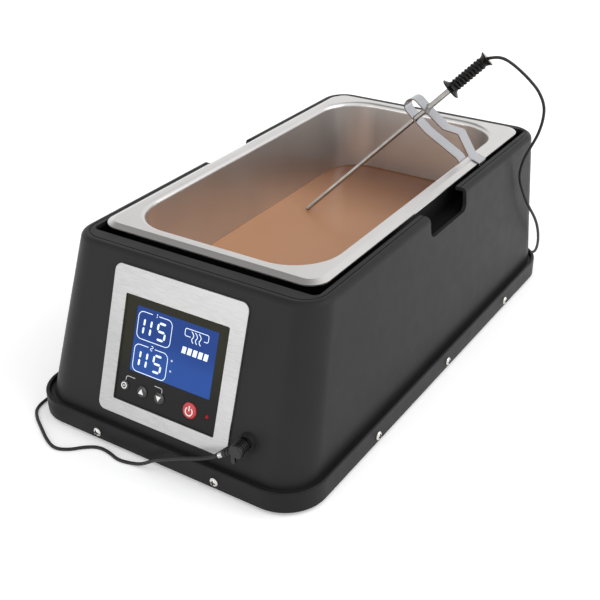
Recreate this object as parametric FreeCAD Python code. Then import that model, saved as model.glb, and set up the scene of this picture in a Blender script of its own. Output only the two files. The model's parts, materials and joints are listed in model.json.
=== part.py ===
import FreeCAD, Part
import math
import os

# A chocolate melter: a moulded housing on a tray, a heated well with a removable pan, and a
# temperature probe held by a clip on the pan's rim. Millimetres. +Z is up, -Y is the front with the
# panel, +X is the right side. The origin is on the table, under the middle of the base.

V = FreeCAD.Vector
os.makedirs("parts", exist_ok=True)

# Pan
PAN_LENGTH = 325.0
PAN_WIDTH = 176.0
PAN_DEPTH = 100.0
PAN_SHEET = 0.8
PAN_TAPER = 5.2
PAN_CORNER = 10.0
PAN_FLANGE_SIDE = 8.0
PAN_FLANGE_END = 8.3
PAN_OPEN_CORNER = 36.0
PAN_FLOOR_ROUND = 12.0
RIM_ROUND = 3.6
PAN_LIP_REACH = 4.9
PAN_LIP_DROP = 2.0
PAN_HEM = 0.9
CHOCOLATE_DEPTH = 39.0
CHOCOLATE_GAP = 0.3

# Heights
FOOT_HEIGHT = 3.0
TRAY_FLOOR = 2.5
UNDER_PAN = 32.8
RIM_RISE = 4.3
SKIRT_HEIGHT = 16.0
GROOVE_DEPTH = 3.0

# Housing, from the pan outwards
GAP_SIDE = 7.0
GAP_FRONT = 9.5
GAP_BACK = 10.0
OPENING_CORNER = 5.0
LAND_SIDE = 9.0
LAND_FRONT = 15.0
LAND_BACK = 9.5
TILT_SIDE = 5.04
TILT_FRONT = 18.9
TILT_BACK = 0.25
LEDGE_SIDE = 5.6
LEDGE_FRONT = 6.1
LEDGE_BACK = 3.5
BASE_CORNER = 31.0
SHELL_FOOT_CORNER = 27.0
SHELL_TOP_CORNER = 22.0
SHELL_EDGE = 4.5
SHELL_WALL = 3.0
DECK_THICKNESS = 3.0
CREASE_WIDTH = 0.8
CREASE_DEPTH = 0.6
NOTCH_LENGTH = 61.0
NOTCH_DEPTH = 17.5
NOTCH_CORNER = 6.0
TRAY_WALL = 3.0
VENTS = 9
VENT_PITCH = 20.0
VENT_LENGTH = 84.0
VENT_WIDTH = 4.0
TRAY_EDGE_ROUND = 1.3
BAND_GAP = 0.3
BAND_HEIGHT = 10.0
BAND_WALL = 3.0

# Collar, well and what heats it
WELL_GAP = 0.8
WELL_SHEET = 1.2
WELL_FLANGE = 1.3
WELL_FLANGE_SHEET = 1.5
WELL_UNDER = 2.0
WELL_SINK = 6.5
FIT = 0.3
COLLAR_WALL = 2.5
COLLAR_SCREWS = (-0.34, -0.17, 0.185, 0.355)
COLLAR_SCREW_X = 50.0
SHELF_SHEET = 2.5
SHELF_DROP = 3.0
SHELF_GAP = 0.5
MAT_SHEET = 1.5
MAT_INSET = 22.0
BAND_LOW = 12.0
BAND_HIGH = 58.0
BLANKET = 8.0
BLANKET_TOP = 24.0
CRADLE_SHEET = 1.2
CRADLE_WIDTH = 120.0
CRADLE_LENGTH = 250.0
CRADLE_FOOT = 12.0
CUTOUT_RADIUS = 8.0
CUTOUT_HEIGHT = 7.0
SENSOR_SIZE = 6.0
SENSOR_ASIDE = 12.0
SENSOR_FORWARD = 60.0

# Panel on the front wall. Heights run up the slope from the wall's foot.
BEZEL_WIDTH = 113.0
BEZEL_FOOT = 8.7
BEZEL_HEAD = 8.5
BEZEL_SHEET = 1.5
BEZEL_CORNER = 6.0
BEZEL_CUT = 10.0
BEZEL_EDGE = 0.25
WINDOW_SIDE = 12.4
WINDOW_FOOT = 11.0
WINDOW_HEAD = 19.5
FASCIA_LAP = 4.0
FASCIA_SHEET = 1.0
PANEL_LAP = 3.0
LCD_LEFT = 10.1
LCD_RIGHT = 8.5
LCD_HEIGHT = 47.0
LCD_LIFT = 23.7
LCD_SHEET = 0.9
LCD_CASE_LAP = 2.5
LCD_CASE_DEPTH = 4.6
LCD_PINS = 8
LCD_PIN_PITCH = 8.0
BUTTON_ROW = 11.5
# Each button: the side of the window that it is measured from, how far in it lies, and its diameter
BUTTONS = {
    "settings": (-1, 8.0, 7.4),
    "up": (-1, 24.0, 8.6),
    "down": (-1, 39.1, 8.6),
    "start_stop": (1, 22.6, 11.4),
}
BUTTON_GAP = 0.3
BUTTON_RISE = 0.9
BUTTON_SKIRT = 1.0
BUTTON_STEM = 3.4
BUTTON_TRAVEL = 0.7
LED_INSET = 8.4
LED_DIAMETER = 3.2
BOARD_SHEET = 1.6
BOARD_BACK = 8.0
BOARD_MARGIN = 3.5
SWITCH_SIZE = 6.0
SWITCH_HEIGHT = 3.4
DISPLAY_CHIP = (-9.0, 9.0, 38.0, 56.0, 2.0)
DISPLAY_SOCKET = (-30.0, -8.0, 18.0, 26.0, 7.0)

# Jack, plug and probe
JACK_X = 70.6
JACK_Z = 40.9
JACK_BOSS = 12.0
JACK_BOSS_REACH = 2.6
JACK_NECK = 6.0
JACK_BODY = 10.0
JACK_BODY_LENGTH = 14.0
NUT_ACROSS = 9.0
NUT_SHEET = 1.6
PIN_DIAMETER = 3.5
PIN_LENGTH = 12.0
PIN_GAP = 0.05
PLUG_DIAMETER = 10.4
PLUG_LENGTH = 10.0
PLUG_RIBS = 4
BOOT_LENGTH = 12.8
BOOT_THICK = 5.2
BOOT_THIN = 3.6
BOOT_LINE = V(-0.84, -0.25, -0.48).normalize()
FERRULE_DIAMETER = 4.0
FERRULE_LENGTH = 3.4
TAB_LENGTH = 4.6
TAB_WIDTH = 3.0
TAB_SHEET = 1.8
PROBE_TIP_X = -44.7
PROBE_TIP_BACK = 34.2
PROBE_TIP_RISE = 0.9
PROBE_LINE = V(0.6363, 0.3639, 0.6755).normalize()
ROD_DIAMETER = 3.6
SLEEVE_DIAMETER = 4.6
SLEEVE_START = 120.5
HANDLE_START = 159.3
HANDLE_LENGTH = 38.5
HANDLE_BODY = 10.4
HANDLE_FLANGE = 18.0
HANDLE_END = 13.2
HANDLE_RIBS = 9
HANDLE_RIB_PITCH = 3.1
HANDLE_RIB_DEPTH = 0.9
HANDLE_FLARE = 5.6
ROD_SEAT = 22.0
SLEEVE_SEAT = 14.0
TUBE_FIT = 0.05

# Clip
CLIP_BACK = 82.0
CLIP_WIDTH = 12.8
CLIP_SHEET = 1.0
CLIP_FIT = 0.35
CLIP_HOLE_GAP = 0.3

# Screws, feet, inlet
SKIRT_SCREW_Z = 9.0
SKIRT_SCREW_PITCH = 112.5
SKIRT_SCREW_START = 101.5
SKIRT_SCREW_END_X = 52.0
SCREW_HEAD = 6.6
SCREW_HEAD_HEIGHT = 2.2
SCREW_SHANK = 3.4
SCREW_LENGTH = 9.0
SCREW_GAP = 0.1
SCREW_BOSS = 6.6
FOOT_INSET = 28.0
FOOT_DIAMETER = 22.0
FOOT_SEAT = 1.2
FOOT_SCREW_Z = 2.2
FOOT_SCREW_HEAD = 1.4
SMALL_HEAD = 5.4
SMALL_HEAD_HEIGHT = 2.0
SMALL_SHANK = 2.9
SMALL_LENGTH = 7.0
DISPLAY_SCREW_LENGTH = 5.0
INLET_BACK = 77.5
INLET_Z = 44.0
INLET_WIDTH = 27.0
INLET_HEIGHT = 20.0
INLET_DEPTH = 20.0
INLET_TAB = 6.0
INLET_FLANGE = 50.0
INLET_MARGIN = 2.0
INLET_SHEET = 2.4
INLET_SCREW_PITCH = 40.0
INLET_SOCKET = (24.4, 16.8, 15.0)

# Power board in the front of the tray, and what stands on it: widths, depths and heights
POWER_BOARD = (150.0, 44.0)
POWER_BOARD_BACK = 42.0
BOARD_POST_INSET = 5.0
TRANSFORMER = (34.0, 28.0, 22.0)
TRANSFORMER_X = -39.0
COIL = (22.0, 34.0, 14.0)
RELAY = (15.0, 28.0, 15.0)
RELAY_X = (-8.0, 10.0)
BOARD_PARTS_BACK = 3.0
CAPACITORS = ((26.0, 10.0, 10.0, 16.0), (26.0, -4.0, 10.0, 16.0), (37.0, 10.0, 6.3, 11.0))
TERMINALS = 4
TERMINAL_PITCH = 6.0
TERMINAL_X = 42.0
TERMINAL_BACK = 12.0
TERMINAL_SIZE = (10.0, 11.0)
STANDOFF = 8.0
STANDOFF_DIAMETER = 6.0

# Cord of the probe: its middle line, from the handle over the right side, round the back and the left
# side on the table, and up to the plug at the front
CORD_DIAMETER = 2.5
CORD_Z = 1.3
CORD_SEAT = 0.3
CORD_LEAD = 10.0

# Levels and outlines worked out from the values above
TRAY_TOP = FOOT_HEIGHT + TRAY_FLOOR
RIM_Z = TRAY_TOP + UNDER_PAN + PAN_DEPTH
DECK_Z = RIM_Z - RIM_RISE
SKIRT_Z = FOOT_HEIGHT + SKIRT_HEIGHT
SHELL_Z = SKIRT_Z - GROOVE_DEPTH
WALL_RISE = DECK_Z - SHELL_Z
PAN_X = PAN_WIDTH / 2
PAN_HALF = PAN_LENGTH / 2


def tan(degrees):
    return math.tan(math.radians(degrees))


def cos(degrees):
    return math.cos(math.radians(degrees))


OPENING_X = PAN_X + GAP_SIDE
TOP_X = OPENING_X + LAND_SIDE
FOOT_X = TOP_X + WALL_RISE * tan(TILT_SIDE)
BASE_X = FOOT_X + LEDGE_SIDE
FRONT_REACH = PAN_HALF + GAP_FRONT + LAND_FRONT + WALL_RISE * tan(TILT_FRONT) + LEDGE_FRONT
BACK_REACH = PAN_HALF + GAP_BACK + LAND_BACK + WALL_RISE * tan(TILT_BACK) + LEDGE_BACK
BASE_Y = (FRONT_REACH + BACK_REACH) / 2
PAN_Y = FRONT_REACH - BASE_Y
OPENING_FRONT = PAN_Y - PAN_HALF - GAP_FRONT
OPENING_BACK = PAN_Y + PAN_HALF + GAP_BACK
TOP_FRONT = OPENING_FRONT - LAND_FRONT
TOP_BACK = OPENING_BACK + LAND_BACK
FOOT_FRONT = TOP_FRONT - WALL_RISE * tan(TILT_FRONT)
FOOT_BACK = TOP_BACK + WALL_RISE * tan(TILT_BACK)
NOTCH_Z = DECK_Z - NOTCH_DEPTH
SHELF_Z = NOTCH_Z - SHELF_DROP
OPEN_X = PAN_X - PAN_FLANGE_SIDE
OPEN_Y = PAN_HALF - PAN_FLANGE_END
PAN_FLOOR_Z = RIM_Z - PAN_DEPTH + PAN_SHEET
CHOCOLATE_Z = PAN_FLOOR_Z + CHOCOLATE_DEPTH
COLLAR_Z = RIM_Z - PAN_SHEET - FIT
WELL_Z = RIM_Z - WELL_SINK
WELL_FLOOR_Z = RIM_Z - PAN_DEPTH - WELL_UNDER
CLIP_Y = PAN_Y + CLIP_BACK
PROBE_TIP = V(PROBE_TIP_X, PAN_Y + PROBE_TIP_BACK, CHOCOLATE_Z + PROBE_TIP_RISE)
INLET_Y = -BASE_Y + INLET_BACK
POWER_BOARD_Y = -BASE_Y + POWER_BOARD_BACK
UP = V(0, 0, 1)


def rect(x0, x1, y0, y1, corner, z):
    """A closed wire: a rectangle with round corners at height z."""
    left, right = x0 + corner, x1 - corner
    low, high = y0 + corner, y1 - corner
    centres = [(right, high), (left, high), (left, low), (right, low)]
    arcs = []
    for i, (x, y) in enumerate(centres):
        arcs.append(Part.makeCircle(corner, V(x, y, z), V(0, 0, 1), 90 * i, 90 * i + 90))
    edges = []
    for i, arc in enumerate(arcs):
        following = arcs[(i + 1) % 4]
        begin = arc.valueAt(arc.LastParameter)
        edges.append(arc)
        edges.append(Part.makeLine(begin, following.valueAt(following.FirstParameter)))
    return Part.Wire(edges)


def slab(x0, x1, y0, y1, corner, z0, z1):
    """A plate or block with round corners."""
    return Part.Face(rect(x0, x1, y0, y1, corner, z0)).extrude(V(0, 0, z1 - z0))


def centred(half_x, half_y, corner, z0, z1, y=0.0):
    return slab(-half_x, half_x, y - half_y, y + half_y, corner, z0, z1)


def box(x0, x1, y0, y1, z0, z1):
    return Part.makeBox(x1 - x0, y1 - y0, z1 - z0, V(x0, y0, z0))


def rod(diameter, z0, z1, x=0.0, y=0.0):
    return Part.makeCylinder(diameter / 2, z1 - z0, V(x, y, z0), V(0, 0, 1))


def revolved(profile):
    """A solid turned about the Z axis from a list of (radius, height) corners."""
    points = [V(r, 0, z) for r, z in profile]
    return Part.Face(Part.makePolygon(points + points[:1])).revolve(V(0, 0, 0), V(0, 0, 1), 360)


def laid(shape, origin, line):
    """The shape with its +Z axis along the line and its origin at the given point."""
    placed = shape.copy()
    placed.Placement = FreeCAD.Placement(origin, FreeCAD.Rotation(V(0, 0, 1), line))
    return placed


def flat_edges(shape, z, half_x, half_y):
    """Edges that lie at height z and inside a rectangle about the pan's middle."""
    found = []
    for edge in shape.Edges:
        b = edge.BoundBox
        level = abs(b.ZMin - z) < 1e-4 and abs(b.ZMax - z) < 1e-4
        reach_x = max(abs(b.XMin), abs(b.XMax))
        reach_y = max(abs(b.YMin - PAN_Y), abs(b.YMax - PAN_Y))
        if level and reach_x < half_x and reach_y < half_y:
            found.append(edge)
    return found


def save(name, shape):
    shape.exportStep(f"parts/{name}.step")


# Tapered forms that share the pan's outline

def tub_wire(z, grow):
    shrink = (RIM_Z - z) * tan(PAN_TAPER)
    half_x = OPEN_X - shrink + grow
    half_y = OPEN_Y - shrink + grow
    return rect(-half_x, half_x, PAN_Y - half_y, PAN_Y + half_y, PAN_OPEN_CORNER - shrink + grow, z)


def tub(z0, z1, grow):
    return Part.makeLoft([tub_wire(z0, grow), tub_wire(z1, grow)], True, True)


def round_floor(solid, z, radius):
    return solid.makeFillet(radius, flat_edges(solid, z, BASE_X, BASE_Y))


def rim_wire(grow, z):
    """The outline of the rim's crease, grown outwards."""
    half_x = PAN_X + grow
    half_y = PAN_HALF + grow
    return rect(-half_x, half_x, PAN_Y - half_y, PAN_Y + half_y, PAN_CORNER + grow, z)


def rim_block(top_grow, top, grow, edge, low):
    """A flat top, a slope that falls outwards from the crease to the edge, and an upright hem."""
    slope = Part.makeLoft([rim_wire(grow, edge), rim_wire(top_grow, top)], True, True)
    return slope.fuse(Part.Face(rim_wire(grow, edge)).extrude(V(0, 0, low - edge))).removeSplitter()


def pan_rim():
    """The pan's flange: flat to the crease, then the lip that slopes down to its hem."""
    slope = PAN_LIP_DROP / PAN_LIP_REACH
    upright = PAN_SHEET * math.sqrt(1 + slope ** 2)
    edge = RIM_Z - PAN_LIP_DROP
    low = edge - PAN_HEM
    outer = rim_block(0, RIM_Z, PAN_LIP_REACH, edge, low)
    crease = -(upright - PAN_SHEET) / slope
    inner_edge = edge - upright + PAN_SHEET * slope
    inner = rim_block(crease, RIM_Z - PAN_SHEET, PAN_LIP_REACH - PAN_SHEET, inner_edge, low - 1)
    return outer.cut(inner)


def food_pan():
    under = RIM_Z - PAN_SHEET
    low = PAN_FLOOR_Z - PAN_SHEET
    body = round_floor(tub(low, under, PAN_SHEET), low, PAN_FLOOR_ROUND + PAN_SHEET)
    block = body.fuse(pan_rim()).removeSplitter()
    block = block.makeFillet(RIM_ROUND - PAN_SHEET, flat_edges(block, under, PAN_X - 2, PAN_HALF - 2))
    cavity = round_floor(tub(PAN_FLOOR_Z, RIM_Z + 2, 0), PAN_FLOOR_Z, PAN_FLOOR_ROUND)
    pan = block.cut(cavity)
    return pan.makeFillet(RIM_ROUND, flat_edges(pan, RIM_Z, PAN_X - 2, PAN_HALF - 2))


def melted_chocolate():
    low = PAN_FLOOR_Z + CHOCOLATE_GAP
    return round_floor(tub(low, CHOCOLATE_Z, -CHOCOLATE_GAP), low, PAN_FLOOR_ROUND)


# Collar, well and heating

def well_outer():
    return PAN_SHEET + WELL_GAP + WELL_SHEET


def heating_well():
    low = WELL_FLOOR_Z - WELL_SHEET
    wall = tub(low, WELL_Z, well_outer())
    wall = round_floor(wall, low, PAN_FLOOR_ROUND)
    reach = well_outer() + WELL_FLANGE
    flange = Part.Face(tub_wire(RIM_Z, reach)).extrude(V(0, 0, WELL_FLANGE_SHEET))
    flange.translate(V(0, 0, WELL_Z - WELL_FLANGE_SHEET - RIM_Z))
    inside = tub(WELL_FLOOR_Z, RIM_Z, PAN_SHEET + WELL_GAP)
    inside = round_floor(inside, WELL_FLOOR_Z, PAN_FLOOR_ROUND - WELL_SHEET)
    return wall.fuse(flange).cut(inside).removeSplitter()


def collar_reach():
    return well_outer() + WELL_FLANGE + FIT + COLLAR_WALL


def ring_wall(grow, z0, z1):
    """A straight-walled block with the rim's outline grown outwards."""
    half_x = OPEN_X + grow
    half_y = OPEN_Y + grow
    return centred(half_x, half_y, PAN_OPEN_CORNER + grow, z0, z1, PAN_Y)


def well_collar():
    shelf_low = SHELF_Z - SHELF_SHEET
    shelf_wire = shell_wire(SHELF_Z, SHELL_WALL + SHELF_GAP)
    shelf = Part.Face(shelf_wire).extrude(V(0, 0, -SHELF_SHEET))
    wall = ring_wall(collar_reach(), shelf_low, COLLAR_Z)
    body = shelf.fuse(wall)
    body = body.cut(ring_wall(well_outer() + FIT, shelf_low - 1, COLLAR_Z + 1))
    body = body.cut(ring_wall(well_outer() + WELL_FLANGE + FIT, WELL_Z - WELL_FLANGE_SHEET, COLLAR_Z + 1))
    for x, y in collar_bosses():
        body = body.cut(rod(SMALL_SHANK + 2 * FIT, shelf_low - 1, SHELF_Z + 1, x, y))
    return body.removeSplitter()


def collar_bosses():
    side = (OPENING_X + TOP_X - SHELL_WALL) / 2 + 0.7
    front = (OPENING_FRONT + TOP_FRONT) / 2
    places = [(sx * side, PAN_Y + share * PAN_LENGTH) for sx in (-1, 1) for share in COLLAR_SCREWS]
    return places + [(-COLLAR_SCREW_X, front), (COLLAR_SCREW_X, front)]


def heater_band():
    low = WELL_FLOOR_Z + BAND_LOW
    high = WELL_FLOOR_Z + BAND_HIGH
    outer = tub(low, high, well_outer() + MAT_SHEET)
    return outer.cut(tub(low - 1, high + 1, well_outer() + TUBE_FIT))


def heater_mat():
    top = WELL_FLOOR_Z - WELL_SHEET
    mat = Part.Face(tub_wire(top, -MAT_INSET)).extrude(V(0, 0, -MAT_SHEET))
    return mat.cut(rod(2 * CUTOUT_RADIUS + 2, top - 10, top + 1, 0, PAN_Y))


def insulation_blanket():
    low = WELL_FLOOR_Z - WELL_SHEET - MAT_SHEET - FIT
    inner = well_outer() + MAT_SHEET + FIT
    top = SHELF_Z - SHELF_SHEET - BLANKET_TOP
    outer = tub(low - BLANKET, top, inner + BLANKET)
    blanket = outer.cut(tub(low, top + 1, inner))
    return blanket.cut(rod(2 * CUTOUT_RADIUS + 4, low - BLANKET - 1, low + 1, 0, PAN_Y))


def cradle_top():
    return WELL_FLOOR_Z - WELL_SHEET - MAT_SHEET - FIT - BLANKET


def support_cradle():
    top = cradle_top()
    half_x = CRADLE_WIDTH / 2
    half_y = CRADLE_LENGTH / 2
    plate = box(-half_x, half_x, PAN_Y - half_y, PAN_Y + half_y, top - CRADLE_SHEET, top)
    plate = plate.cut(rod(40.0, top - 5, top + 1, 0, PAN_Y))
    for side in (-1, 1):
        wall = sorted((side * half_x, side * (half_x - CRADLE_SHEET)))
        foot = sorted((side * (half_x - CRADLE_SHEET), side * (half_x + CRADLE_FOOT)))
        plate = plate.fuse(box(*wall, PAN_Y - half_y, PAN_Y + half_y, TRAY_TOP, top))
        plate = plate.fuse(box(*foot, PAN_Y - half_y, PAN_Y + half_y, TRAY_TOP, TRAY_TOP + CRADLE_SHEET))
    window = box(-half_x - 1, half_x + 1, PAN_Y - half_y + 25, PAN_Y + half_y - 25, TRAY_TOP + 4, top - 4)
    return plate.cut(window).removeSplitter()


def thermal_cutout():
    top = WELL_FLOOR_Z - WELL_SHEET
    body = rod(2 * CUTOUT_RADIUS, top - CUTOUT_HEIGHT, top, 0, PAN_Y)
    for side in (-1, 1):
        tab = box(-2.4, 2.4, -0.4, 0.4, -6, 0)
        tab.translate(V(side * 4, PAN_Y, top - CUTOUT_HEIGHT))
        body = body.fuse(tab)
    return body


def well_sensor():
    top = WELL_FLOOR_Z - WELL_SHEET
    half = SENSOR_SIZE / 2
    x = OPEN_X - (RIM_Z - top) * tan(PAN_TAPER) - MAT_INSET + SENSOR_ASIDE
    y = PAN_Y - SENSOR_FORWARD
    return box(x - half, x + half, y - half, y + half, top - MAT_SHEET, top)


# Shell

def shell_wire(z, inset):
    """The housing's outline at height z, moved inwards."""
    rise = DECK_Z - z
    x = TOP_X + rise * tan(TILT_SIDE) - inset / cos(TILT_SIDE)
    front = TOP_FRONT - rise * tan(TILT_FRONT) + inset / cos(TILT_FRONT)
    back = TOP_BACK + rise * tan(TILT_BACK) - inset / cos(TILT_BACK)
    corner = SHELL_TOP_CORNER + (SHELL_FOOT_CORNER - SHELL_TOP_CORNER) * rise / WALL_RISE - inset
    return rect(-x, x, front, back, corner, z)


def shell_block(z0, z1, inset):
    return Part.makeLoft([shell_wire(z0, inset), shell_wire(z1, inset)], True, True)


def panel_frame():
    return FreeCAD.Placement(V(0, FOOT_FRONT, SHELL_Z), FreeCAD.Rotation(V(1, 0, 0), 90 - TILT_FRONT))


def on_panel(shape):
    """Moves a shape drawn flat (x, up the slope, outwards) onto the front wall."""
    placed = shape.copy()
    placed.Placement = panel_frame().multiply(placed.Placement)
    return placed


PANEL_RISE = WALL_RISE / cos(TILT_FRONT)
BEZEL_TOP = PANEL_RISE - BEZEL_HEAD
WINDOW_X = BEZEL_WIDTH / 2 - WINDOW_SIDE
WINDOW_LOW = BEZEL_FOOT + WINDOW_FOOT
WINDOW_TOP = BEZEL_TOP - WINDOW_HEAD
LCD_WIDTH = 2 * WINDOW_X - LCD_LEFT - LCD_RIGHT
LCD_X = (LCD_LEFT - LCD_RIGHT) / 2
LED_X = WINDOW_X - LED_INSET
LCD_LOW = WINDOW_LOW + LCD_LIFT
BUTTON_UP = WINDOW_LOW + BUTTON_ROW
BOARD_LOW = BEZEL_FOOT + BOARD_MARGIN
BOARD_TOP = LCD_LOW + LCD_HEIGHT + LCD_CASE_LAP + BOARD_MARGIN


def skirt_screw_places():
    """Each screw's head seat and the direction that it drives in."""
    places = []
    for side in (-1, 1):
        for i in range(3):
            y = -BASE_Y + SKIRT_SCREW_START + i * SKIRT_SCREW_PITCH
            places.append((V(side * BASE_X, y, SKIRT_SCREW_Z), V(-side, 0, 0)))
        places.append((V(side * SKIRT_SCREW_END_X, -BASE_Y, SKIRT_SCREW_Z), V(0, 1, 0)))
        places.append((V(side * SKIRT_SCREW_END_X, BASE_Y, SKIRT_SCREW_Z), V(0, -1, 0)))
    return places


def band(inset):
    x = BASE_X - TRAY_WALL - inset
    y = BASE_Y - TRAY_WALL - inset
    return x, y, BASE_CORNER - TRAY_WALL - inset


def display_boss_places():
    x = BEZEL_WIDTH / 2 - BOARD_MARGIN - 3.5
    return [(sx * x, y) for sx in (-1, 1) for y in (BOARD_LOW + 4, BOARD_TOP - 4)]


def housing_shell():
    outer = shell_block(SHELL_Z, DECK_Z, 0)
    outer = outer.makeFillet(SHELL_EDGE, flat_edges(outer, DECK_Z, 2 * BASE_X, 2 * BASE_Y))
    shell = outer.cut(shell_block(SHELL_Z - 1, DECK_Z - DECK_THICKNESS, SHELL_WALL))
    opening = (-OPENING_X, OPENING_X, OPENING_FRONT, OPENING_BACK, OPENING_CORNER)
    shell = shell.cut(slab(*opening, DECK_Z - 20, DECK_Z + 5))
    line = SHELL_EDGE + 0.4
    groove = Part.Face(shell_wire(DECK_Z, line)).extrude(V(0, 0, -CREASE_DEPTH))
    groove = groove.cut(Part.Face(shell_wire(DECK_Z, line + CREASE_WIDTH)).extrude(V(0, 0, -CREASE_DEPTH)))
    shell = shell.cut(groove)
    ends = (PAN_Y - NOTCH_LENGTH / 2, PAN_Y + NOTCH_LENGTH / 2)
    notch = slab(NOTCH_Z, DECK_Z + 20, *ends, NOTCH_CORNER, -2 * BASE_X, 2 * BASE_X)
    notch.rotate(V(0, 0, 0), V(0, 1, 0), -90)
    shell = shell.cut(notch)
    shell = shell.fuse(shell_foot()).cut(shell_bores())
    for x, y in collar_bosses():
        boss = rod(SMALL_SHANK + 3.4, SHELF_Z, DECK_Z - DECK_THICKNESS + 0.5, x, y)
        pilot = rod(SMALL_SHANK + 2 * SCREW_GAP, SHELF_Z - 1, SHELF_Z + SMALL_LENGTH, x, y)
        shell = shell.fuse(boss).cut(pilot)
    shell = panel_cuts(shell)
    shell = jack_boss(shell)
    shell = inlet_cut(shell)
    return shell.removeSplitter()


def shell_foot():
    """The flange at the wall's foot and the upright band that stands inside the tray."""
    x, y, corner = band(BAND_GAP)
    flange = centred(x, y, corner, SHELL_Z - 2.5, SHELL_Z)
    inner = Part.Face(shell_wire(SHELL_Z, SHELL_WALL)).extrude(V(0, 0, -2.5))
    upright = centred(x, y, corner, SHELL_Z - BAND_HEIGHT, SHELL_Z)
    inside = centred(x - BAND_WALL, y - BAND_WALL, corner - BAND_WALL, SHELL_Z - BAND_HEIGHT - 1, SHELL_Z + 1)
    foot = flange.cut(inner).fuse(upright.cut(inside))
    for seat, line in skirt_screw_places():
        start = seat + line * (TRAY_WALL + BAND_GAP + 0.5)
        foot = foot.fuse(laid(rod(SCREW_BOSS, 0, SCREW_LENGTH - 2), start, line))
    return foot


def shell_bores():
    bores = []
    for seat, line in skirt_screw_places():
        bores.append(laid(rod(SCREW_SHANK + 2 * SCREW_GAP, -1, SCREW_LENGTH + 2), seat, line))
    return bores[0].multiFuse(bores[1:])


def panel_cuts(shell):
    x = WINDOW_X + FASCIA_LAP + FIT
    low = WINDOW_LOW - FASCIA_LAP - FIT
    top = WINDOW_TOP + FASCIA_LAP + FIT
    recess = slab(-x, x, low, top, 2.0, -FASCIA_SHEET - 0.05, 2)
    hole = slab(-WINDOW_X + 1, WINDOW_X - 1, WINDOW_LOW + 1, WINDOW_TOP - 1, 3.0, -SHELL_WALL - 3, 1)
    shell = shell.cut(on_panel(recess)).cut(on_panel(hole))
    for px, py in display_boss_places():
        pilot = rod(SMALL_SHANK + 2 * SCREW_GAP, -BOARD_BACK - 1, -SHELL_WALL - 0.2, px, py)
        shell = shell.fuse(on_panel(rod(7.0, -BOARD_BACK, -SHELL_WALL + 0.5, px, py)))
        shell = shell.cut(on_panel(pilot))
    return shell


def jack_face():
    """Where the boss of the jack ends, in front of the sloping wall at the jack's height."""
    return FOOT_FRONT + (JACK_Z - SHELL_Z) * tan(TILT_FRONT) - JACK_BOSS_REACH


def jack_boss(shell):
    y = jack_face()
    depth = JACK_BOSS_REACH + SHELL_WALL / cos(TILT_FRONT) + 3
    boss = laid(rod(JACK_BOSS, 0, depth), V(JACK_X, y, JACK_Z), V(0, 1, 0))
    bore = laid(rod(JACK_NECK + 2 * SCREW_GAP, -1, depth + 1), V(JACK_X, y, JACK_Z), V(0, 1, 0))
    return shell.fuse(boss).cut(bore)


def inlet_frame():
    """Drawn flat (along the wall, up, outwards) and set into the left wall, upright."""
    x = -TOP_X - (DECK_Z - INLET_Z - INLET_HEIGHT / 2 - INLET_MARGIN) * tan(TILT_SIDE)
    turn = FreeCAD.Rotation(V(0, 0, 1), -90).multiply(FreeCAD.Rotation(V(1, 0, 0), 90))
    return FreeCAD.Placement(V(x, INLET_Y, INLET_Z), turn)


def on_inlet(shape):
    placed = shape.copy()
    placed.Placement = inlet_frame().multiply(placed.Placement)
    return placed


def inlet_block(grow, z0, z1):
    x = INLET_FLANGE / 2 + grow
    y = INLET_HEIGHT / 2 + INLET_MARGIN + grow
    return slab(-x, x, -y, y, 1.5 + grow, z0, z1)


def inlet_cut(shell):
    shell = shell.fuse(on_inlet(inlet_block(FIT + SHELL_WALL, -INLET_SHEET - SHELL_WALL, -0.3)))
    shell = shell.cut(on_inlet(inlet_block(FIT, -INLET_SHEET, 6)))
    half_x = INLET_WIDTH / 2 + FIT
    half_y = INLET_HEIGHT / 2 + FIT
    shell = shell.cut(on_inlet(box(-half_x, half_x, -half_y, half_y, -20, 1)))
    for side in (-1, 1):
        pilot = rod(SMALL_SHANK + 2 * SCREW_GAP, -12, 0, side * INLET_SCREW_PITCH / 2)
        shell = shell.cut(on_inlet(pilot))
    return shell


def base_tray():
    tray = centred(BASE_X, BASE_Y, BASE_CORNER, FOOT_HEIGHT, SKIRT_Z)
    x, y, corner = band(0)
    tray = tray.cut(centred(x, y, corner, TRAY_TOP, SKIRT_Z + 1))
    tray = tray.makeFillet(TRAY_EDGE_ROUND, flat_edges(tray, SKIRT_Z, 2 * BASE_X, 2 * BASE_Y))
    for seat, line in skirt_screw_places():
        tray = tray.cut(laid(rod(SCREW_SHANK + 0.8, -1, TRAY_WALL + 1), seat, line))
    for px, py in foot_places():
        tray = tray.cut(rod(FOOT_DIAMETER + 2 * FIT, FOOT_HEIGHT - 1, FOOT_HEIGHT + FOOT_SEAT, px, py))
        tray = tray.fuse(rod(10.0, TRAY_TOP - 0.5, TRAY_TOP + 6, px, py))
        tray = tray.cut(rod(SMALL_SHANK + 2 * SCREW_GAP, FOOT_HEIGHT - 1, TRAY_TOP + 8, px, py))
    for i in range(VENTS):
        y = PAN_Y + VENT_PITCH * (i - (VENTS - 1) / 2)
        half = VENT_WIDTH / 2
        tray = tray.cut(centred(VENT_LENGTH / 2, half, half - 0.1, FOOT_HEIGHT - 1, TRAY_TOP + 1, y))
    return tray.removeSplitter()


def foot_places():
    x = BASE_X - FOOT_INSET
    y = BASE_Y - FOOT_INSET
    return [(-x, -y), (x, -y), (-x, y), (x, y)]


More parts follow.
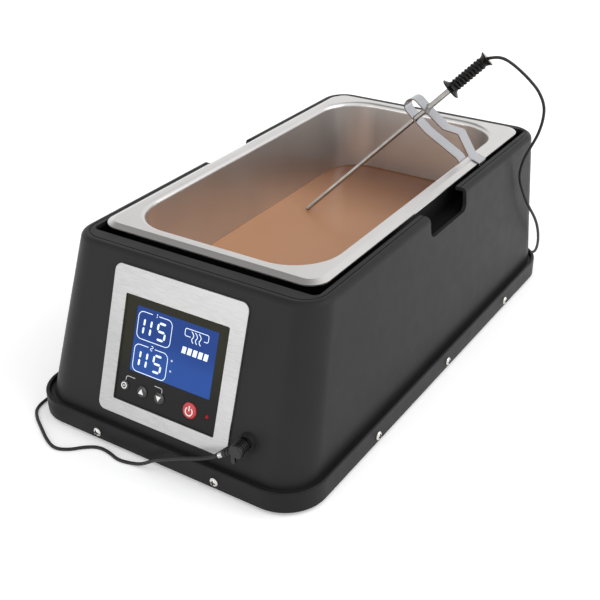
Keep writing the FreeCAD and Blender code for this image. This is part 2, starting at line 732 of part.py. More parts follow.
def rubber_foot():
    r = FOOT_DIAMETER / 2
    top = FOOT_HEIGHT + FOOT_SEAT - 0.05
    head = SMALL_HEAD / 2 + 0.6
    bore = SMALL_SHANK / 2 + 0.2
    profile = [(bore, FOOT_SCREW_Z), (head, FOOT_SCREW_Z), (head, 0), (r - 1.4, 0), (r, FOOT_HEIGHT)]
    return revolved(profile + [(r, top), (bore, top)])


def screw(head, head_height, shank, length):
    """A pan-head cross screw: the head stands on z = 0 and the shank goes down."""
    r = head / 2
    crown = [V(r, 0, head_height * 0.45), V(r * 0.72, 0, head_height * 0.88), V(0, 0, head_height)]
    arc = Part.Arc(*crown).toShape()
    half = shank / 2
    corners = [(0, -length), (half - 0.5, -length), (half, -length + 1), (half, 0), (r, 0)]
    sides = [crown[-1]] + [V(x, 0, z) for x, z in corners] + [crown[0]]
    lines = [Part.makeLine(a, b) for a, b in zip(sides, sides[1:])]
    body = Part.Face(Part.Wire(lines + [arc])).revolve(V(0, 0, 0), V(0, 0, 1), 360)
    arm = head * 0.32
    for a, b in ((arm, 0.45), (0.45, arm)):
        body = body.cut(box(-a, a, -b, b, head_height * 0.4, head_height + 1))
    return body


def screw_group(places, head, head_height, shank, length):
    driver = screw(head, head_height, shank, length)
    return Part.makeCompound([laid(driver, seat, line * -1) for seat, line in places])


# Panel pieces

def bezel_outline(z):
    x = BEZEL_WIDTH / 2
    plate = slab(-x, x, BEZEL_FOOT, BEZEL_TOP, BEZEL_CORNER, 0, z)
    corner = V(x + 1, BEZEL_FOOT - 1, -1)
    cut = [corner, V(x + 1, BEZEL_FOOT + BEZEL_CUT, -1), V(x - BEZEL_CUT, BEZEL_FOOT - 1, -1), corner]
    return plate.cut(Part.Face(Part.makePolygon(cut)).extrude(V(0, 0, z + 2)))


def bezel_plate():
    window = slab(-WINDOW_X, WINDOW_X, WINDOW_LOW, WINDOW_TOP, 1.0, -1, BEZEL_SHEET + 1)
    plate = bezel_outline(BEZEL_SHEET).cut(window)
    front = [e for e in plate.Edges if e.BoundBox.ZMin > BEZEL_SHEET - 0.01]
    return on_panel(plate.makeChamfer(BEZEL_EDGE, front))


def button_places():
    """Each button's place across the panel and its diameter."""
    return {name: (side * (WINDOW_X - inset), size) for name, (side, inset, size) in BUTTONS.items()}


def fascia_panel():
    x = WINDOW_X + FASCIA_LAP
    sheet = slab(-x, x, WINDOW_LOW - FASCIA_LAP, WINDOW_TOP + FASCIA_LAP, 2.0, -FASCIA_SHEET, 0)
    sheet = sheet.cut(lcd_slab(0.1, -FASCIA_SHEET - 1, 1))
    for px, size in button_places().values():
        sheet = sheet.cut(rod(size + 2 * BUTTON_GAP, -FASCIA_SHEET - 1, 1, px, BUTTON_UP))
    sheet = sheet.cut(rod(LED_DIAMETER + 0.2, -FASCIA_SHEET - 1, 1, LED_X, BUTTON_UP))
    return on_panel(sheet)


def lcd_slab(grow, z0, z1):
    half = LCD_WIDTH / 2 + grow
    return slab(LCD_X - half, LCD_X + half, LCD_LOW - grow, LCD_LOW + LCD_HEIGHT + grow, 0.8, z0, z1)


def lcd_window():
    return on_panel(lcd_slab(0, -0.1 - LCD_SHEET, -0.1))


def lcd_module():
    top = -FASCIA_SHEET - 0.05
    case = lcd_slab(LCD_CASE_LAP, top - LCD_CASE_DEPTH, top)
    pins = []
    for i in range(LCD_PINS):
        x = LCD_X + LCD_PIN_PITCH * (i - (LCD_PINS - 1) / 2)
        pin = box(x - 0.4, x + 0.4, LCD_LOW - 1.8, LCD_LOW - 1.0, -BOARD_BACK, top - LCD_CASE_DEPTH + 0.5)
        pins.append(pin)
    return on_panel(case.multiFuse(pins))


def display_board():
    x = BEZEL_WIDTH / 2 - BOARD_MARGIN
    board = slab(-x, x, BOARD_LOW, BOARD_TOP, 2.0, -BOARD_BACK - BOARD_SHEET, -BOARD_BACK)
    for px, py in display_boss_places():
        board = board.cut(rod(SMALL_SHANK + 2 * FIT, -BOARD_BACK - 5, 0, px, py))
    back = -BOARD_BACK - BOARD_SHEET
    for x0, x1, low, high, depth in (DISPLAY_CHIP, DISPLAY_SOCKET):
        board = board.fuse(box(x0, x1, BOARD_LOW + low, BOARD_LOW + high, back - depth, back))
    return on_panel(board)


def button_switches():
    switches = []
    half = SWITCH_SIZE / 2
    for px, size in button_places().values():
        top = -BOARD_BACK + SWITCH_HEIGHT
        case = box(px - half, px + half, BUTTON_UP - half, BUTTON_UP + half, -BOARD_BACK, top)
        case = case.cut(rod(BUTTON_STEM + 0.2, -BOARD_BACK + 1, 0, px, BUTTON_UP))
        switches.append(on_panel(case))
    return Part.makeCompound(switches)


def button(name):
    px, size = button_places()[name]
    r = size / 2
    skirt = r + BUTTON_SKIRT
    back = -FASCIA_SHEET - 0.2
    stem_end = -BOARD_BACK + SWITCH_HEIGHT - 1.0
    stem = BUTTON_STEM / 2
    rise = BUTTON_RISE
    profile = [(0, stem_end), (stem, stem_end), (stem, back - 0.9), (skirt, back - 0.9), (skirt, back)]
    profile += [(r, back), (r, rise - 0.5), (r - 0.5, rise - 0.1), (r * 0.5, rise + 0.15), (0, rise + 0.2)]
    cap = revolved(profile)
    cap.translate(V(px, BUTTON_UP, 0))
    return on_panel(cap)


def power_led():
    r = LED_DIAMETER / 2
    back = -BOARD_BACK
    rim = r + 0.6
    profile = [(0, back), (rim, back), (rim, back + 1), (r, back + 1), (r, -0.4), (r * 0.7, 0.2), (0, 0.5)]
    lens = revolved(profile)
    lens.translate(V(LED_X, BUTTON_UP, 0))
    return on_panel(lens)


def probe_jack():
    y = jack_face()
    depth = JACK_BOSS_REACH + SHELL_WALL / cos(TILT_FRONT) + 3
    neck = rod(JACK_NECK, -NUT_SHEET - 0.2, depth)
    case = centred(JACK_BODY / 2, JACK_BODY / 2, 1.0, depth, depth + JACK_BODY_LENGTH)
    bore = rod(PIN_DIAMETER + 2 * PIN_GAP, -NUT_SHEET - 1, PIN_LENGTH + 1)
    return laid(neck.fuse(case).cut(bore), V(JACK_X, y, JACK_Z), V(0, 1, 0))


def jack_nut():
    r = NUT_ACROSS / 2 / cos(30)
    corners = [V(r * cos(60 * i), r * cos(60 * i - 90), -NUT_SHEET) for i in range(7)]
    nut = Part.Face(Part.makePolygon(corners)).extrude(V(0, 0, NUT_SHEET))
    nut = nut.cut(rod(JACK_NECK + 2 * TUBE_FIT, -NUT_SHEET - 1, 1))
    return laid(nut, V(JACK_X, jack_face(), JACK_Z), V(0, 1, 0))


# Plug, probe and clip

def plug_back():
    return jack_face() - NUT_SHEET - 0.2 - FIT


def boot_start():
    return V(JACK_X, plug_back() - PLUG_LENGTH * 0.6, JACK_Z)


def plug_body():
    r = PLUG_DIAMETER / 2
    pitch = PLUG_LENGTH / (PLUG_RIBS + 1)
    profile = [(0, 0), (r - 1.2, 0), (r - 0.5, 0.6)]
    for i in range(PLUG_RIBS):
        z = 0.9 + pitch * i
        profile += [(r, z), (r, z + pitch * 0.55), (r - 0.6, z + pitch * 0.62), (r - 0.6, z + pitch * 0.93)]
    end = PLUG_LENGTH
    profile += [(r, end - 1.6), (r - 0.4, end - 0.5), (r - 1.4, end), (0, end)]
    barrel = laid(revolved(profile), V(JACK_X, plug_back(), JACK_Z), V(0, -1, 0))
    boot = Part.makeCone(BOOT_THICK / 2, BOOT_THIN / 2, BOOT_LENGTH)
    boot = laid(boot, boot_start(), BOOT_LINE)
    for i in range(3):
        z = BOOT_LENGTH - 3.0 - 2.4 * i
        size = BOOT_THIN + (BOOT_THICK - BOOT_THIN) * (1 - z / BOOT_LENGTH) + 0.8
        boot = boot.fuse(laid(rod(size, z, z + 1.2), boot_start(), BOOT_LINE))
    tab_y = plug_back() - PLUG_LENGTH + TAB_SHEET
    tab = slab(-TAB_WIDTH / 2, TAB_WIDTH / 2, -r - TAB_LENGTH, 0, 1.2, 0, TAB_SHEET)
    tab = laid(tab, V(JACK_X - 2.0, tab_y, JACK_Z), V(0, -1, 0))
    return barrel.fuse(boot).fuse(tab).removeSplitter()


def cord_ferrule():
    r = FERRULE_DIAMETER / 2
    end = FERRULE_LENGTH
    profile = [(0, 0), (r - 0.3, 0), (r, 0.3), (r, end - 0.3), (r - 0.3, end), (0, end)]
    return laid(revolved(profile), boot_start() + BOOT_LINE * BOOT_LENGTH, BOOT_LINE)


def plug_pin():
    r = PIN_DIAMETER / 2
    tip = PIN_LENGTH - 0.8
    profile = [(0, 0), (r, 0), (r, tip - 3.2), (r - 0.5, tip - 2.2), (r, tip - 1.4), (0.6, tip), (0, tip)]
    return laid(revolved(profile), V(JACK_X, plug_back(), JACK_Z), V(0, 1, 0))


def probe_place(shape):
    return laid(shape, PROBE_TIP, PROBE_LINE)


def probe_rod():
    r = ROD_DIAMETER / 2
    end = HANDLE_START + ROD_SEAT
    arc = Part.Arc(V(0, 0, 0), V(r * 0.7071, 0, r * 0.2929), V(r, 0, r)).toShape()
    corners = [V(r, 0, r), V(r, 0, end), V(0, 0, end), V(0, 0, 0)]
    lines = [Part.makeLine(a, b) for a, b in zip(corners, corners[1:])]
    return probe_place(Part.Face(Part.Wire([arc] + lines)).revolve(V(0, 0, 0), V(0, 0, 1), 360))


def probe_sleeve():
    r0 = ROD_DIAMETER / 2 + TUBE_FIT
    r1 = SLEEVE_DIAMETER / 2
    start = SLEEVE_START
    end = HANDLE_START + SLEEVE_SEAT
    return probe_place(revolved([(r0, start), (r0 + 0.15, start), (r1, start + 2.0), (r1, end), (r0, end)]))


def probe_handle():
    root = HANDLE_BODY / 2 - HANDLE_RIB_DEPTH
    crest = HANDLE_BODY / 2
    z0 = HANDLE_START
    z1 = HANDLE_START + HANDLE_LENGTH
    bore = SLEEVE_DIAMETER / 2 + TUBE_FIT
    flange = HANDLE_FLANGE / 2
    tail = HANDLE_END / 2
    mouth = CORD_DIAMETER / 2 + 0.1
    profile = [(bore, z0), (flange - 0.5, z0), (flange, z0 + 0.5), (flange, z0 + 1.3)]
    profile += [(flange - 1.4, z0 + 2.0), (root + 1.4, z0 + 3.1), (root + 0.4, z0 + 4.2)]
    profile += [(root, z0 + HANDLE_FLARE)]
    pitch = HANDLE_RIB_PITCH
    for i in range(HANDLE_RIBS):
        z = z0 + HANDLE_FLARE + i * pitch
        for radius, share in ((crest - 0.25, 0.22), (crest, 0.42), (crest - 0.25, 0.62), (root, 0.86)):
            profile.append((radius, z + share * pitch))
    profile += [(root, z1 - 4.4), (root + 0.6, z1 - 3.0), (tail - 0.6, z1 - 1.5)]
    profile += [(tail, z1 - 0.9), (tail - 0.3, z1)]
    profile += [(mouth + 0.7, z1), (mouth, z1 - 1.1), (0, z1 - 1.1), (0, z0 + ROD_SEAT + FIT)]
    thin = ROD_DIAMETER / 2 + TUBE_FIT
    step = z0 + SLEEVE_SEAT + 0.2
    profile += [(thin, z0 + ROD_SEAT + FIT), (thin, step), (bore, step)]
    return probe_place(revolved(profile))


def strip_path(corners, radii, shift):
    """Edges of a bent strip's face: straight runs and round bends, moved sideways by the shift."""
    points = [V(x, 0, z) for x, z in corners]
    lines = [(b - a).normalize() for a, b in zip(points, points[1:])]
    lefts = [V(-line.z, 0, line.x) for line in lines]
    edges = []
    start = points[0] + lefts[0] * shift
    for i, bend in enumerate(radii):
        into, out = lines[i], lines[i + 1]
        side = 1 if into.cross(out).y < 0 else -1
        begin = points[i + 1] - into * (bend * math.tan(into.getAngle(out) / 2))
        centre = begin + lefts[i] * (side * bend)
        radius = bend - side * shift
        first = centre - lefts[i] * (side * radius)
        middle = centre - (lefts[i] + lefts[i + 1]).normalize() * (side * radius)
        last = centre - lefts[i + 1] * (side * radius)
        edges.append(Part.makeLine(start, first))
        edges.append(Part.Arc(first, middle, last).toShape())
        start = last
    edges.append(Part.makeLine(start, points[-1] + lefts[-1] * shift))
    return edges


def clip_corners():
    """The clip's profile across the rim: outer foot, leg, shelf, loop, inner leg and inner foot."""
    off = CLIP_FIT + CLIP_SHEET / 2
    foot = PAN_X + PAN_LIP_REACH + off
    inner = OPEN_X - off - 1.2
    rim = RIM_Z
    return [
        (foot, rim - 4.2), (foot, rim - 1.3), (PAN_X + 0.3, rim + off + 0.1), (PAN_X - 2.4, rim + off + 0.1),
        (74.0, rim + 19.2), (60.2, rim + 20.9), (45.7, rim + 31.6), (30.9, rim + 43.8), (22.6, rim + 33.5),
        (44.6, rim + 15.1), (inner - 4.6, rim - 1.0), (inner, rim - 6.0), (inner - 0.6, rim - 17.0),
    ]


CLIP_BENDS = [1.2, 3.0, 2.6, 3.0, 4.0, 30.0, 6.3, 6.3, 25.0, 5.0, 6.0]


def probe_clip():
    corners = clip_corners()
    outer = strip_path(corners, CLIP_BENDS, CLIP_SHEET / 2)
    inner = strip_path(corners, CLIP_BENDS, -CLIP_SHEET / 2)
    ends = [Part.makeLine(outer[i].Vertexes[i].Point, inner[i].Vertexes[i].Point) for i in (0, -1)]
    wire = Part.Wire(Part.__sortEdges__(outer + inner + ends))
    strip = Part.Face(wire).extrude(V(0, CLIP_WIDTH, 0))
    strip.translate(V(0, CLIP_Y - CLIP_WIDTH / 2, 0))
    hole = probe_place(rod(SLEEVE_DIAMETER + 2 * CLIP_HOLE_GAP, SLEEVE_START - 12, HANDLE_START - 2))
    return strip.cut(hole)


CORD_POINTS = [
    (86.5, 133, 214), (92.5, 136.75, 213), (98.5, 140.75, 208.5), (105, 144.25, 202.5),
    (112.5, 148.25, 194.5), (119.5, 151.75, 185.5), (124.5, 153.75, 173.5), (124, 154.75, 161),
    (121, 154.75, 148), (115.5, 154.75, 135.5), (111, 152.5, 123), (109.5, 152.25, 109),
    (112, 157.75, 94.5), (115.5, 165.25, 79), (118.5, 180.25, 61), (117.5, 194.75, 42),
    (113.5, 209.75, 21.5), (107.5, 220.25, 6.5), (96, 227.75, CORD_Z), (80, 231.75, CORD_Z),
    (51.5, 233.75, CORD_Z), (11, 228.25, CORD_Z), (-35.5, 229.25, CORD_Z), (-80, 232.75, CORD_Z),
    (-112.5, 223.25, CORD_Z), (-129, 195.75, CORD_Z), (-133, 159.25, CORD_Z), (-130, 113.25, CORD_Z),
    (-135.5, 65.75, CORD_Z), (-131, 17.75, CORD_Z), (-135, -30.25, CORD_Z), (-132.5, -78.75, CORD_Z),
    (-130.5, -123.25, CORD_Z), (-124.5, -162.25, CORD_Z), (-121, -187.75, CORD_Z),
    (-119.5, -204.75, CORD_Z), (-111.5, -213.25, CORD_Z), (-98.5, -221.25, CORD_Z),
    (-84.5, -229.75, CORD_Z), (-72.5, -234.25, CORD_Z), (-62.5, -229.75, CORD_Z), (-55, -221.25, CORD_Z),
    (-46.5, -216.05, CORD_Z), (-36, -216.75, CORD_Z), (-25, -220.05, CORD_Z), (-13.5, -217.45, CORD_Z),
    (-5.5, -216.25, 3.5), (6, -216.25, 12), (17, -215.75, 17), (32, -215.25, 24),
]


def cord_route():
    start = PROBE_TIP + PROBE_LINE * (HANDLE_START + HANDLE_LENGTH - CORD_SEAT)
    finish = boot_start() + BOOT_LINE * (BOOT_LENGTH + FERRULE_LENGTH)
    lead = finish + BOOT_LINE * CORD_LEAD
    return [start] + [V(*p) for p in CORD_POINTS] + [lead, finish]


def probe_cord():
    points = cord_route()
    edges = []
    start = points[0]
    for a, p, b in zip(points, points[1:], points[2:]):
        into = (p - a).normalize()
        out = (b - p).normalize()
        turn = into.getAngle(out)
        reach = 0.45 * min((p - a).Length, (b - p).Length)
        radius = reach / math.tan(turn / 2)
        middle = p + (out - into).normalize() * (radius / math.cos(turn / 2) - radius)
        edges.append(Part.LineSegment(start, p - into * reach).toShape())
        start = p + out * reach
        edges.append(Part.Arc(p - into * reach, middle, start).toShape())
        place = f"{p.x:.1f} {p.y:.1f} {p.z:.1f}"
        print(f"cord bend at {place}: turn {math.degrees(turn):.0f}, radius {radius:.1f}")
    edges.append(Part.LineSegment(start, points[-1]).toShape())
    path = Part.Wire(edges)
    section = Part.Wire([Part.makeCircle(CORD_DIAMETER / 2, points[0], points[1] - points[0])])
    tube = path.makePipeShell([section], True, False)
    expected = math.pi * CORD_DIAMETER ** 2 / 4 * path.Length
    print(f"cord length {path.Length:.1f}, volume {tube.Volume:.1f}, section times length {expected:.1f}")
    return tube


# Power inlet

def power_inlet():
    width, height, depth = INLET_SOCKET
    back = -INLET_SHEET - INLET_DEPTH
    body = box(-INLET_WIDTH / 2, INLET_WIDTH / 2, -INLET_HEIGHT / 2, INLET_HEIGHT / 2, back, -0.5)
    inlet = inlet_block(0, -INLET_SHEET, 0).fuse(body)
    inlet = inlet.cut(slab(-width / 2, width / 2, -height / 2, height / 2, 2.0, -INLET_SHEET - depth, 1))
    for x, y in ((-7, -2), (7, -2), (0, 2.5)):
        inlet = inlet.fuse(box(x - 1, x + 1, y - 2, y + 2, -INLET_SHEET - depth - 0.5, -INLET_SHEET - 2))
        inlet = inlet.fuse(box(x - 0.4, x + 0.4, y - 2, y + 2, back - INLET_TAB, back + 0.5))
    for side in (-1, 1):
        inlet = inlet.cut(rod(SMALL_SHANK + 0.8, -10, 1, side * INLET_SCREW_PITCH / 2))
    return on_inlet(inlet.removeSplitter())


def inlet_screw_places():
    frame = inlet_frame()
    inward = frame.Rotation.multVec(V(0, 0, -1))
    return [(frame.multVec(V(side * INLET_SCREW_PITCH / 2, 0, 0)), inward) for side in (-1, 1)]


# Power board

def board_posts():
    x = POWER_BOARD[0] / 2 - BOARD_POST_INSET
    y = POWER_BOARD[1] / 2 - BOARD_POST_INSET
    return [(sx * x, POWER_BOARD_Y + sy * y) for sx in (-1, 1) for sy in (-1, 1)]


def board_top():
    return TRAY_TOP + STANDOFF + BOARD_SHEET


def power_board():
    x, y = POWER_BOARD[0] / 2, POWER_BOARD[1] / 2
    board = slab(-x, x, POWER_BOARD_Y - y, POWER_BOARD_Y + y, 2.0, TRAY_TOP + STANDOFF, board_top())
    for px, py in board_posts():
        board = board.cut(rod(SMALL_SHANK + 2 * FIT, TRAY_TOP, board_top() + 1, px, py))
    return board


def board_standoffs():
    posts = []
    for px, py in board_posts():
        post = rod(STANDOFF_DIAMETER, TRAY_TOP, TRAY_TOP + STANDOFF, px, py)
        pilot = rod(SMALL_SHANK + 2 * SCREW_GAP, TRAY_TOP + 1, TRAY_TOP + STANDOFF + 1, px, py)
        posts.append(post.cut(pilot))
    return Part.makeCompound(posts)


def board_block(size, x, corner, lift=0.0):
    """A block on the power board: width, depth and height, at x, with round corners."""
    width, depth, height = size
    z = board_top() + lift
    y = POWER_BOARD_Y + BOARD_PARTS_BACK
    return slab(x - width / 2, x + width / 2, y - depth / 2, y + depth / 2, corner, z, z + height)


def transformer():
    lift = (TRANSFORMER[2] - COIL[2]) / 2
    core = board_block(TRANSFORMER, TRANSFORMER_X, 1.0)
    return core.fuse(board_block(COIL, TRANSFORMER_X, 4.0, lift)).removeSplitter()


def relays():
    return Part.makeCompound([board_block(RELAY, x, 1.0) for x in RELAY_X])


def capacitors():
    z = board_top()
    cans = []
    for x, y, size, height in CAPACITORS:
        can = rod(size, z, z + height, x, POWER_BOARD_Y + y)
        top = [e for e in can.Edges if e.BoundBox.ZMin > z + height - 0.01]
        cans.append(can.makeFillet(0.8, top))
    return Part.makeCompound(cans)


def terminal_block():
    z = board_top()
    y = POWER_BOARD_Y + TERMINAL_BACK
    depth, height = TERMINAL_SIZE
    width = TERMINALS * TERMINAL_PITCH
    block = box(TERMINAL_X, TERMINAL_X + width, y - depth / 2, y + depth / 2, z, z + height)
    for i in range(TERMINALS):
        x = TERMINAL_X + (i + 0.5) * TERMINAL_PITCH
        block = block.cut(rod(3.4, z + height / 2, z + height + 1, x, y))
        block = block.cut(box(x - 1.6, x + 1.6, y + 1, y + depth / 2 + 1, z + 1.5, z + height / 2 - 0.5))
    return block


PIECES = [
    housing_shell, base_tray, well_collar, heating_well, heater_band, heater_mat, insulation_blanket,
    support_cradle, thermal_cutout, well_sensor, food_pan, melted_chocolate, bezel_plate, fascia_panel,
    lcd_window, lcd_module, display_board, button_switches, power_led, probe_jack, jack_nut, plug_body,
    plug_pin, cord_ferrule, probe_rod, probe_sleeve, probe_handle, probe_clip, probe_cord, power_inlet,
    power_board, board_standoffs, transformer, relays, capacitors, terminal_block,
]
FOOT_NAMES = ("foot_front_left", "foot_front_right", "foot_rear_left", "foot_rear_right")


def small_screws(places, length=SMALL_LENGTH):
    return screw_group(places, SMALL_HEAD, SMALL_HEAD_HEIGHT, SMALL_SHANK, length)


def display_screw_places():
    panel = panel_frame()
    inward = panel.Rotation.multVec(UP)
    back = -BOARD_BACK - BOARD_SHEET
    return [(panel.multVec(V(x, y, back)), inward) for x, y in display_boss_places()]


def save_screws():
    big = (SCREW_HEAD, SCREW_HEAD_HEIGHT, SCREW_SHANK, SCREW_LENGTH)
    save("skirt_screws", screw_group(skirt_screw_places(), *big))
    save("inlet_screws", small_screws(inlet_screw_places()))
    save("collar_screws", small_screws([(V(x, y, SHELF_Z - SHELF_SHEET), UP) for x, y in collar_bosses()]))
    save("board_screws", small_screws([(V(x, y, board_top()), UP * -1) for x, y in board_posts()]))
    save("display_screws", small_screws(display_screw_places(), DISPLAY_SCREW_LENGTH))
    seats = [(V(x, y, FOOT_SCREW_Z), UP) for x, y in foot_places()]
    save("foot_screws", screw_group(seats, SMALL_HEAD, FOOT_SCREW_HEAD, SMALL_SHANK, SMALL_LENGTH))


def main():
    for piece in PIECES:
        save(piece.__name__, piece())
    for name in BUTTONS:
        save(f"button_{name}", button(name))
    for name, (x, y) in zip(FOOT_NAMES, foot_places()):
        foot = rubber_foot()
        foot.translate(V(x, y, 0))
        save(name, foot)
    save_screws()


main()
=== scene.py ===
import json
import math

import bpy
from mathutils import Matrix, Vector


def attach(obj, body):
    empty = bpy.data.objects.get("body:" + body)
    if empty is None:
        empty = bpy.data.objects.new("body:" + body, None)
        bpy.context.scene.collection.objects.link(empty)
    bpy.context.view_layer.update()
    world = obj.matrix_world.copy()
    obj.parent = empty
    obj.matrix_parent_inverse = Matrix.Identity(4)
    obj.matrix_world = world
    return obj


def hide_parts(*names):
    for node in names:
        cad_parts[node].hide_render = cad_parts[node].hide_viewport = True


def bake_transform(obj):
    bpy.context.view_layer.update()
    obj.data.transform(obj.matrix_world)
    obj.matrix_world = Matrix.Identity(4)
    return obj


# Looks of the chocolate melter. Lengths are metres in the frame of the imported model: +Z is up, -Y is
# the front with the panel, +X is the right side.

MM = 0.001

# Camera: its place, its turns in radians, its lens and sensor in millimetres
CAMERA_PLACE = (0.3903124, -0.6197428, 0.4520282)
CAMERA_YAW = 0.5791
CAMERA_PITCH = 0.5224
CAMERA_ROLL = 0.0136
CAMERA_LENS = 61.044
SENSOR_WIDTH = 36.0

# Studio: a white sky with one dark card, and two lights. Each light has its place, the point that it
# faces, its two sides and its power in watts.
CARD_LINE = (-0.472, 0.176, 0.865)
CARD_EDGE = (0.8, 0.94)
CARD_TONE = 0.3
SKY_STRENGTH = 1.08
KEY_LIGHT = ((1.8, 0.6, 1.4), (0, 0, 0.08), (2.0, 1.6), 17)
FRONT_LIGHT = ((-0.6, -1.9, 0.35), (0, -0.2, 0.08), (0.9, 0.5), 2.6)
FLOOR_HALF = 6.0
FLOOR_GLOW = 0.24

# Panel on the front wall, as in the part: its foot, and its slope in degrees
PANEL_FOOT_Y = -0.203658
PANEL_FOOT_Z = 0.016
PANEL_TILT = 18.9

# Marks on the panel, in millimetres: how far out of the fascia they start and how thick they are.
# The buttons stand out by BUTTON_TOP, as in the part.
BUTTON_TOP = 1.1
GLASS_MARKS = (-0.09, 0.03)
FASCIA_MARKS = (-0.02, 0.06)
BUTTON_MARKS = (BUTTON_TOP - 0.25, 0.3)

# Digits on the display: their slant, their width as a share of the height, and the gap at a segment's
# end as a share of its thickness
DIGIT_SLANT = 0.07
DIGIT_WIDTH = 0.57
SEGMENT_GAP = 0.3
DIGIT_SEGMENTS = {
    "0": "abcdef", "1": "bc", "2": "abged", "3": "abgcd", "4": "fgbc", "5": "afgcd", "6": "afgedc",
    "7": "abc", "8": "abcdefg", "9": "abcdfg",
}

# Skirt screws, as in the part: two at each end, and three along each side, counted from the front
SCREW_END_X = 0.052
SCREW_Z = 0.009
SCREW_HEAD_HEIGHT = 0.0022
SCREW_SIDE_START = 0.1015
SCREW_SIDE_STEP = 0.1125

# Dark crosses over the recesses of the screws: painted shade where the recesses lie in shadow
CROSS_ARM = 0.0016
CROSS_HALF_WIDTH = 0.0006
CROSS_THICK = 0.0001
CROSS_LIFT = 0.00002

# Pan, as in the part; the taper is in degrees
PAN_Y = 0.023743
PAN_OPEN = (0.08, 0.1542)
PAN_OPEN_CORNER = 0.036
PAN_FLOOR_ROUND = 0.012
PAN_TAPER = 5.2
RIM_Z = 0.1383

# Chocolate: its heights, its gaps to the wall, and the edge that climbs the wall, as distances from
# the wall with the rise at each
CHOCOLATE_Z = 0.0781
CHOCOLATE_LOW = 0.0395
CHOCOLATE_GAP = 0.0003
CHOCOLATE_TOP_GAP = 0.0002
CHOCOLATE_EDGE = (
    (0.0001, 0.0009), (0.0004, 0.0006), (0.0009, 0.00035), (0.0018, 0.00015), (0.0032, 0.00004),
    (0.005, 0.0),
)

# Probe and cord, with the points that the cord's line is drawn from
PROBE_TIP = Vector((-0.0447, 0.057943, 0.079))
PROBE_LINE = Vector((0.6363, 0.3639, 0.6755)).normalized()
CORD_START = 0.1975
CORD_DIAMETER = 0.0025
CORD_SIDES = 12
CORD_END = Vector((0.05698, -0.209887, 0.03312))
BOOT_LINE = Vector((-0.84, -0.25, -0.48)).normalized()
CORD_LEAD = 0.01
CORD_Z = 0.0013
CORD_POINTS = [
    (0.0865, 0.133, 0.214), (0.0925, 0.13675, 0.213), (0.0985, 0.14075, 0.2085),
    (0.105, 0.14425, 0.2025), (0.1125, 0.14825, 0.1945), (0.1195, 0.15175, 0.1855),
    (0.1245, 0.15375, 0.1735), (0.124, 0.15475, 0.161), (0.121, 0.15475, 0.148),
    (0.1155, 0.15475, 0.1355), (0.111, 0.1525, 0.123), (0.1095, 0.15225, 0.109),
    (0.112, 0.15775, 0.0945), (0.1155, 0.16525, 0.079), (0.1185, 0.18025, 0.061),
    (0.1175, 0.19475, 0.042), (0.1135, 0.20975, 0.0215), (0.1075, 0.22025, 0.0065),
    (0.096, 0.22775, CORD_Z), (0.08, 0.23175, CORD_Z), (0.0515, 0.23375, CORD_Z),
    (0.011, 0.22825, CORD_Z), (-0.0355, 0.22925, CORD_Z), (-0.08, 0.23275, CORD_Z),
    (-0.1125, 0.22325, CORD_Z), (-0.129, 0.19575, CORD_Z), (-0.133, 0.15925, CORD_Z),
    (-0.13, 0.11325, CORD_Z), (-0.1355, 0.06575, CORD_Z), (-0.131, 0.01775, CORD_Z),
    (-0.135, -0.03025, CORD_Z), (-0.1325, -0.07875, CORD_Z), (-0.1305, -0.12325, CORD_Z),
    (-0.1245, -0.16225, CORD_Z), (-0.121, -0.18775, CORD_Z), (-0.1195, -0.20475, CORD_Z),
    (-0.1115, -0.21325, CORD_Z), (-0.0985, -0.22125, CORD_Z), (-0.0845, -0.22975, CORD_Z),
    (-0.0725, -0.23425, CORD_Z), (-0.0625, -0.22975, CORD_Z), (-0.055, -0.22125, CORD_Z),
    (-0.0465, -0.21605, CORD_Z), (-0.036, -0.21675, CORD_Z), (-0.025, -0.22005, CORD_Z),
    (-0.0135, -0.21745, CORD_Z), (-0.0055, -0.21625, 0.0035), (0.006, -0.21625, 0.012),
    (0.017, -0.21575, 0.017), (0.032, -0.21525, 0.024),
]

# Stretches of the cord from the handle on, with the bodies at the two ends of each, and the places
# near which it is cut
CORD_STRETCHES = (
    ("cord_at_handle", ("clip", "probe")),
    ("cord_at_clip", ("pan", "clip")),
    ("cord_at_pan", ("housing", "pan")),
    ("cord_on_table", None),
    ("cord_at_plug", ("housing", "plug")),
)
CORD_CUTS = (
    (0.124, 0.15475, 0.161), (0.111, 0.1525, 0.123), (0.1075, 0.22025, 0.0065),
    (-0.0055, -0.21625, 0.0035),
)

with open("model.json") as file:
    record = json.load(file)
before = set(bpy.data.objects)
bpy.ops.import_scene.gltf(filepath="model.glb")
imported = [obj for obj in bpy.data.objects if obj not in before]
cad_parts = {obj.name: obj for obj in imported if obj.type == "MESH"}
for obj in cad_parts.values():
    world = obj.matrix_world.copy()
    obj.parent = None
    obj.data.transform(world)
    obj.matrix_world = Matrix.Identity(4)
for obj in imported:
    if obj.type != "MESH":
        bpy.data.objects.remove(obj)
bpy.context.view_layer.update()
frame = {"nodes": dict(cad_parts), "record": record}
NODES = frame["nodes"]


# Materials

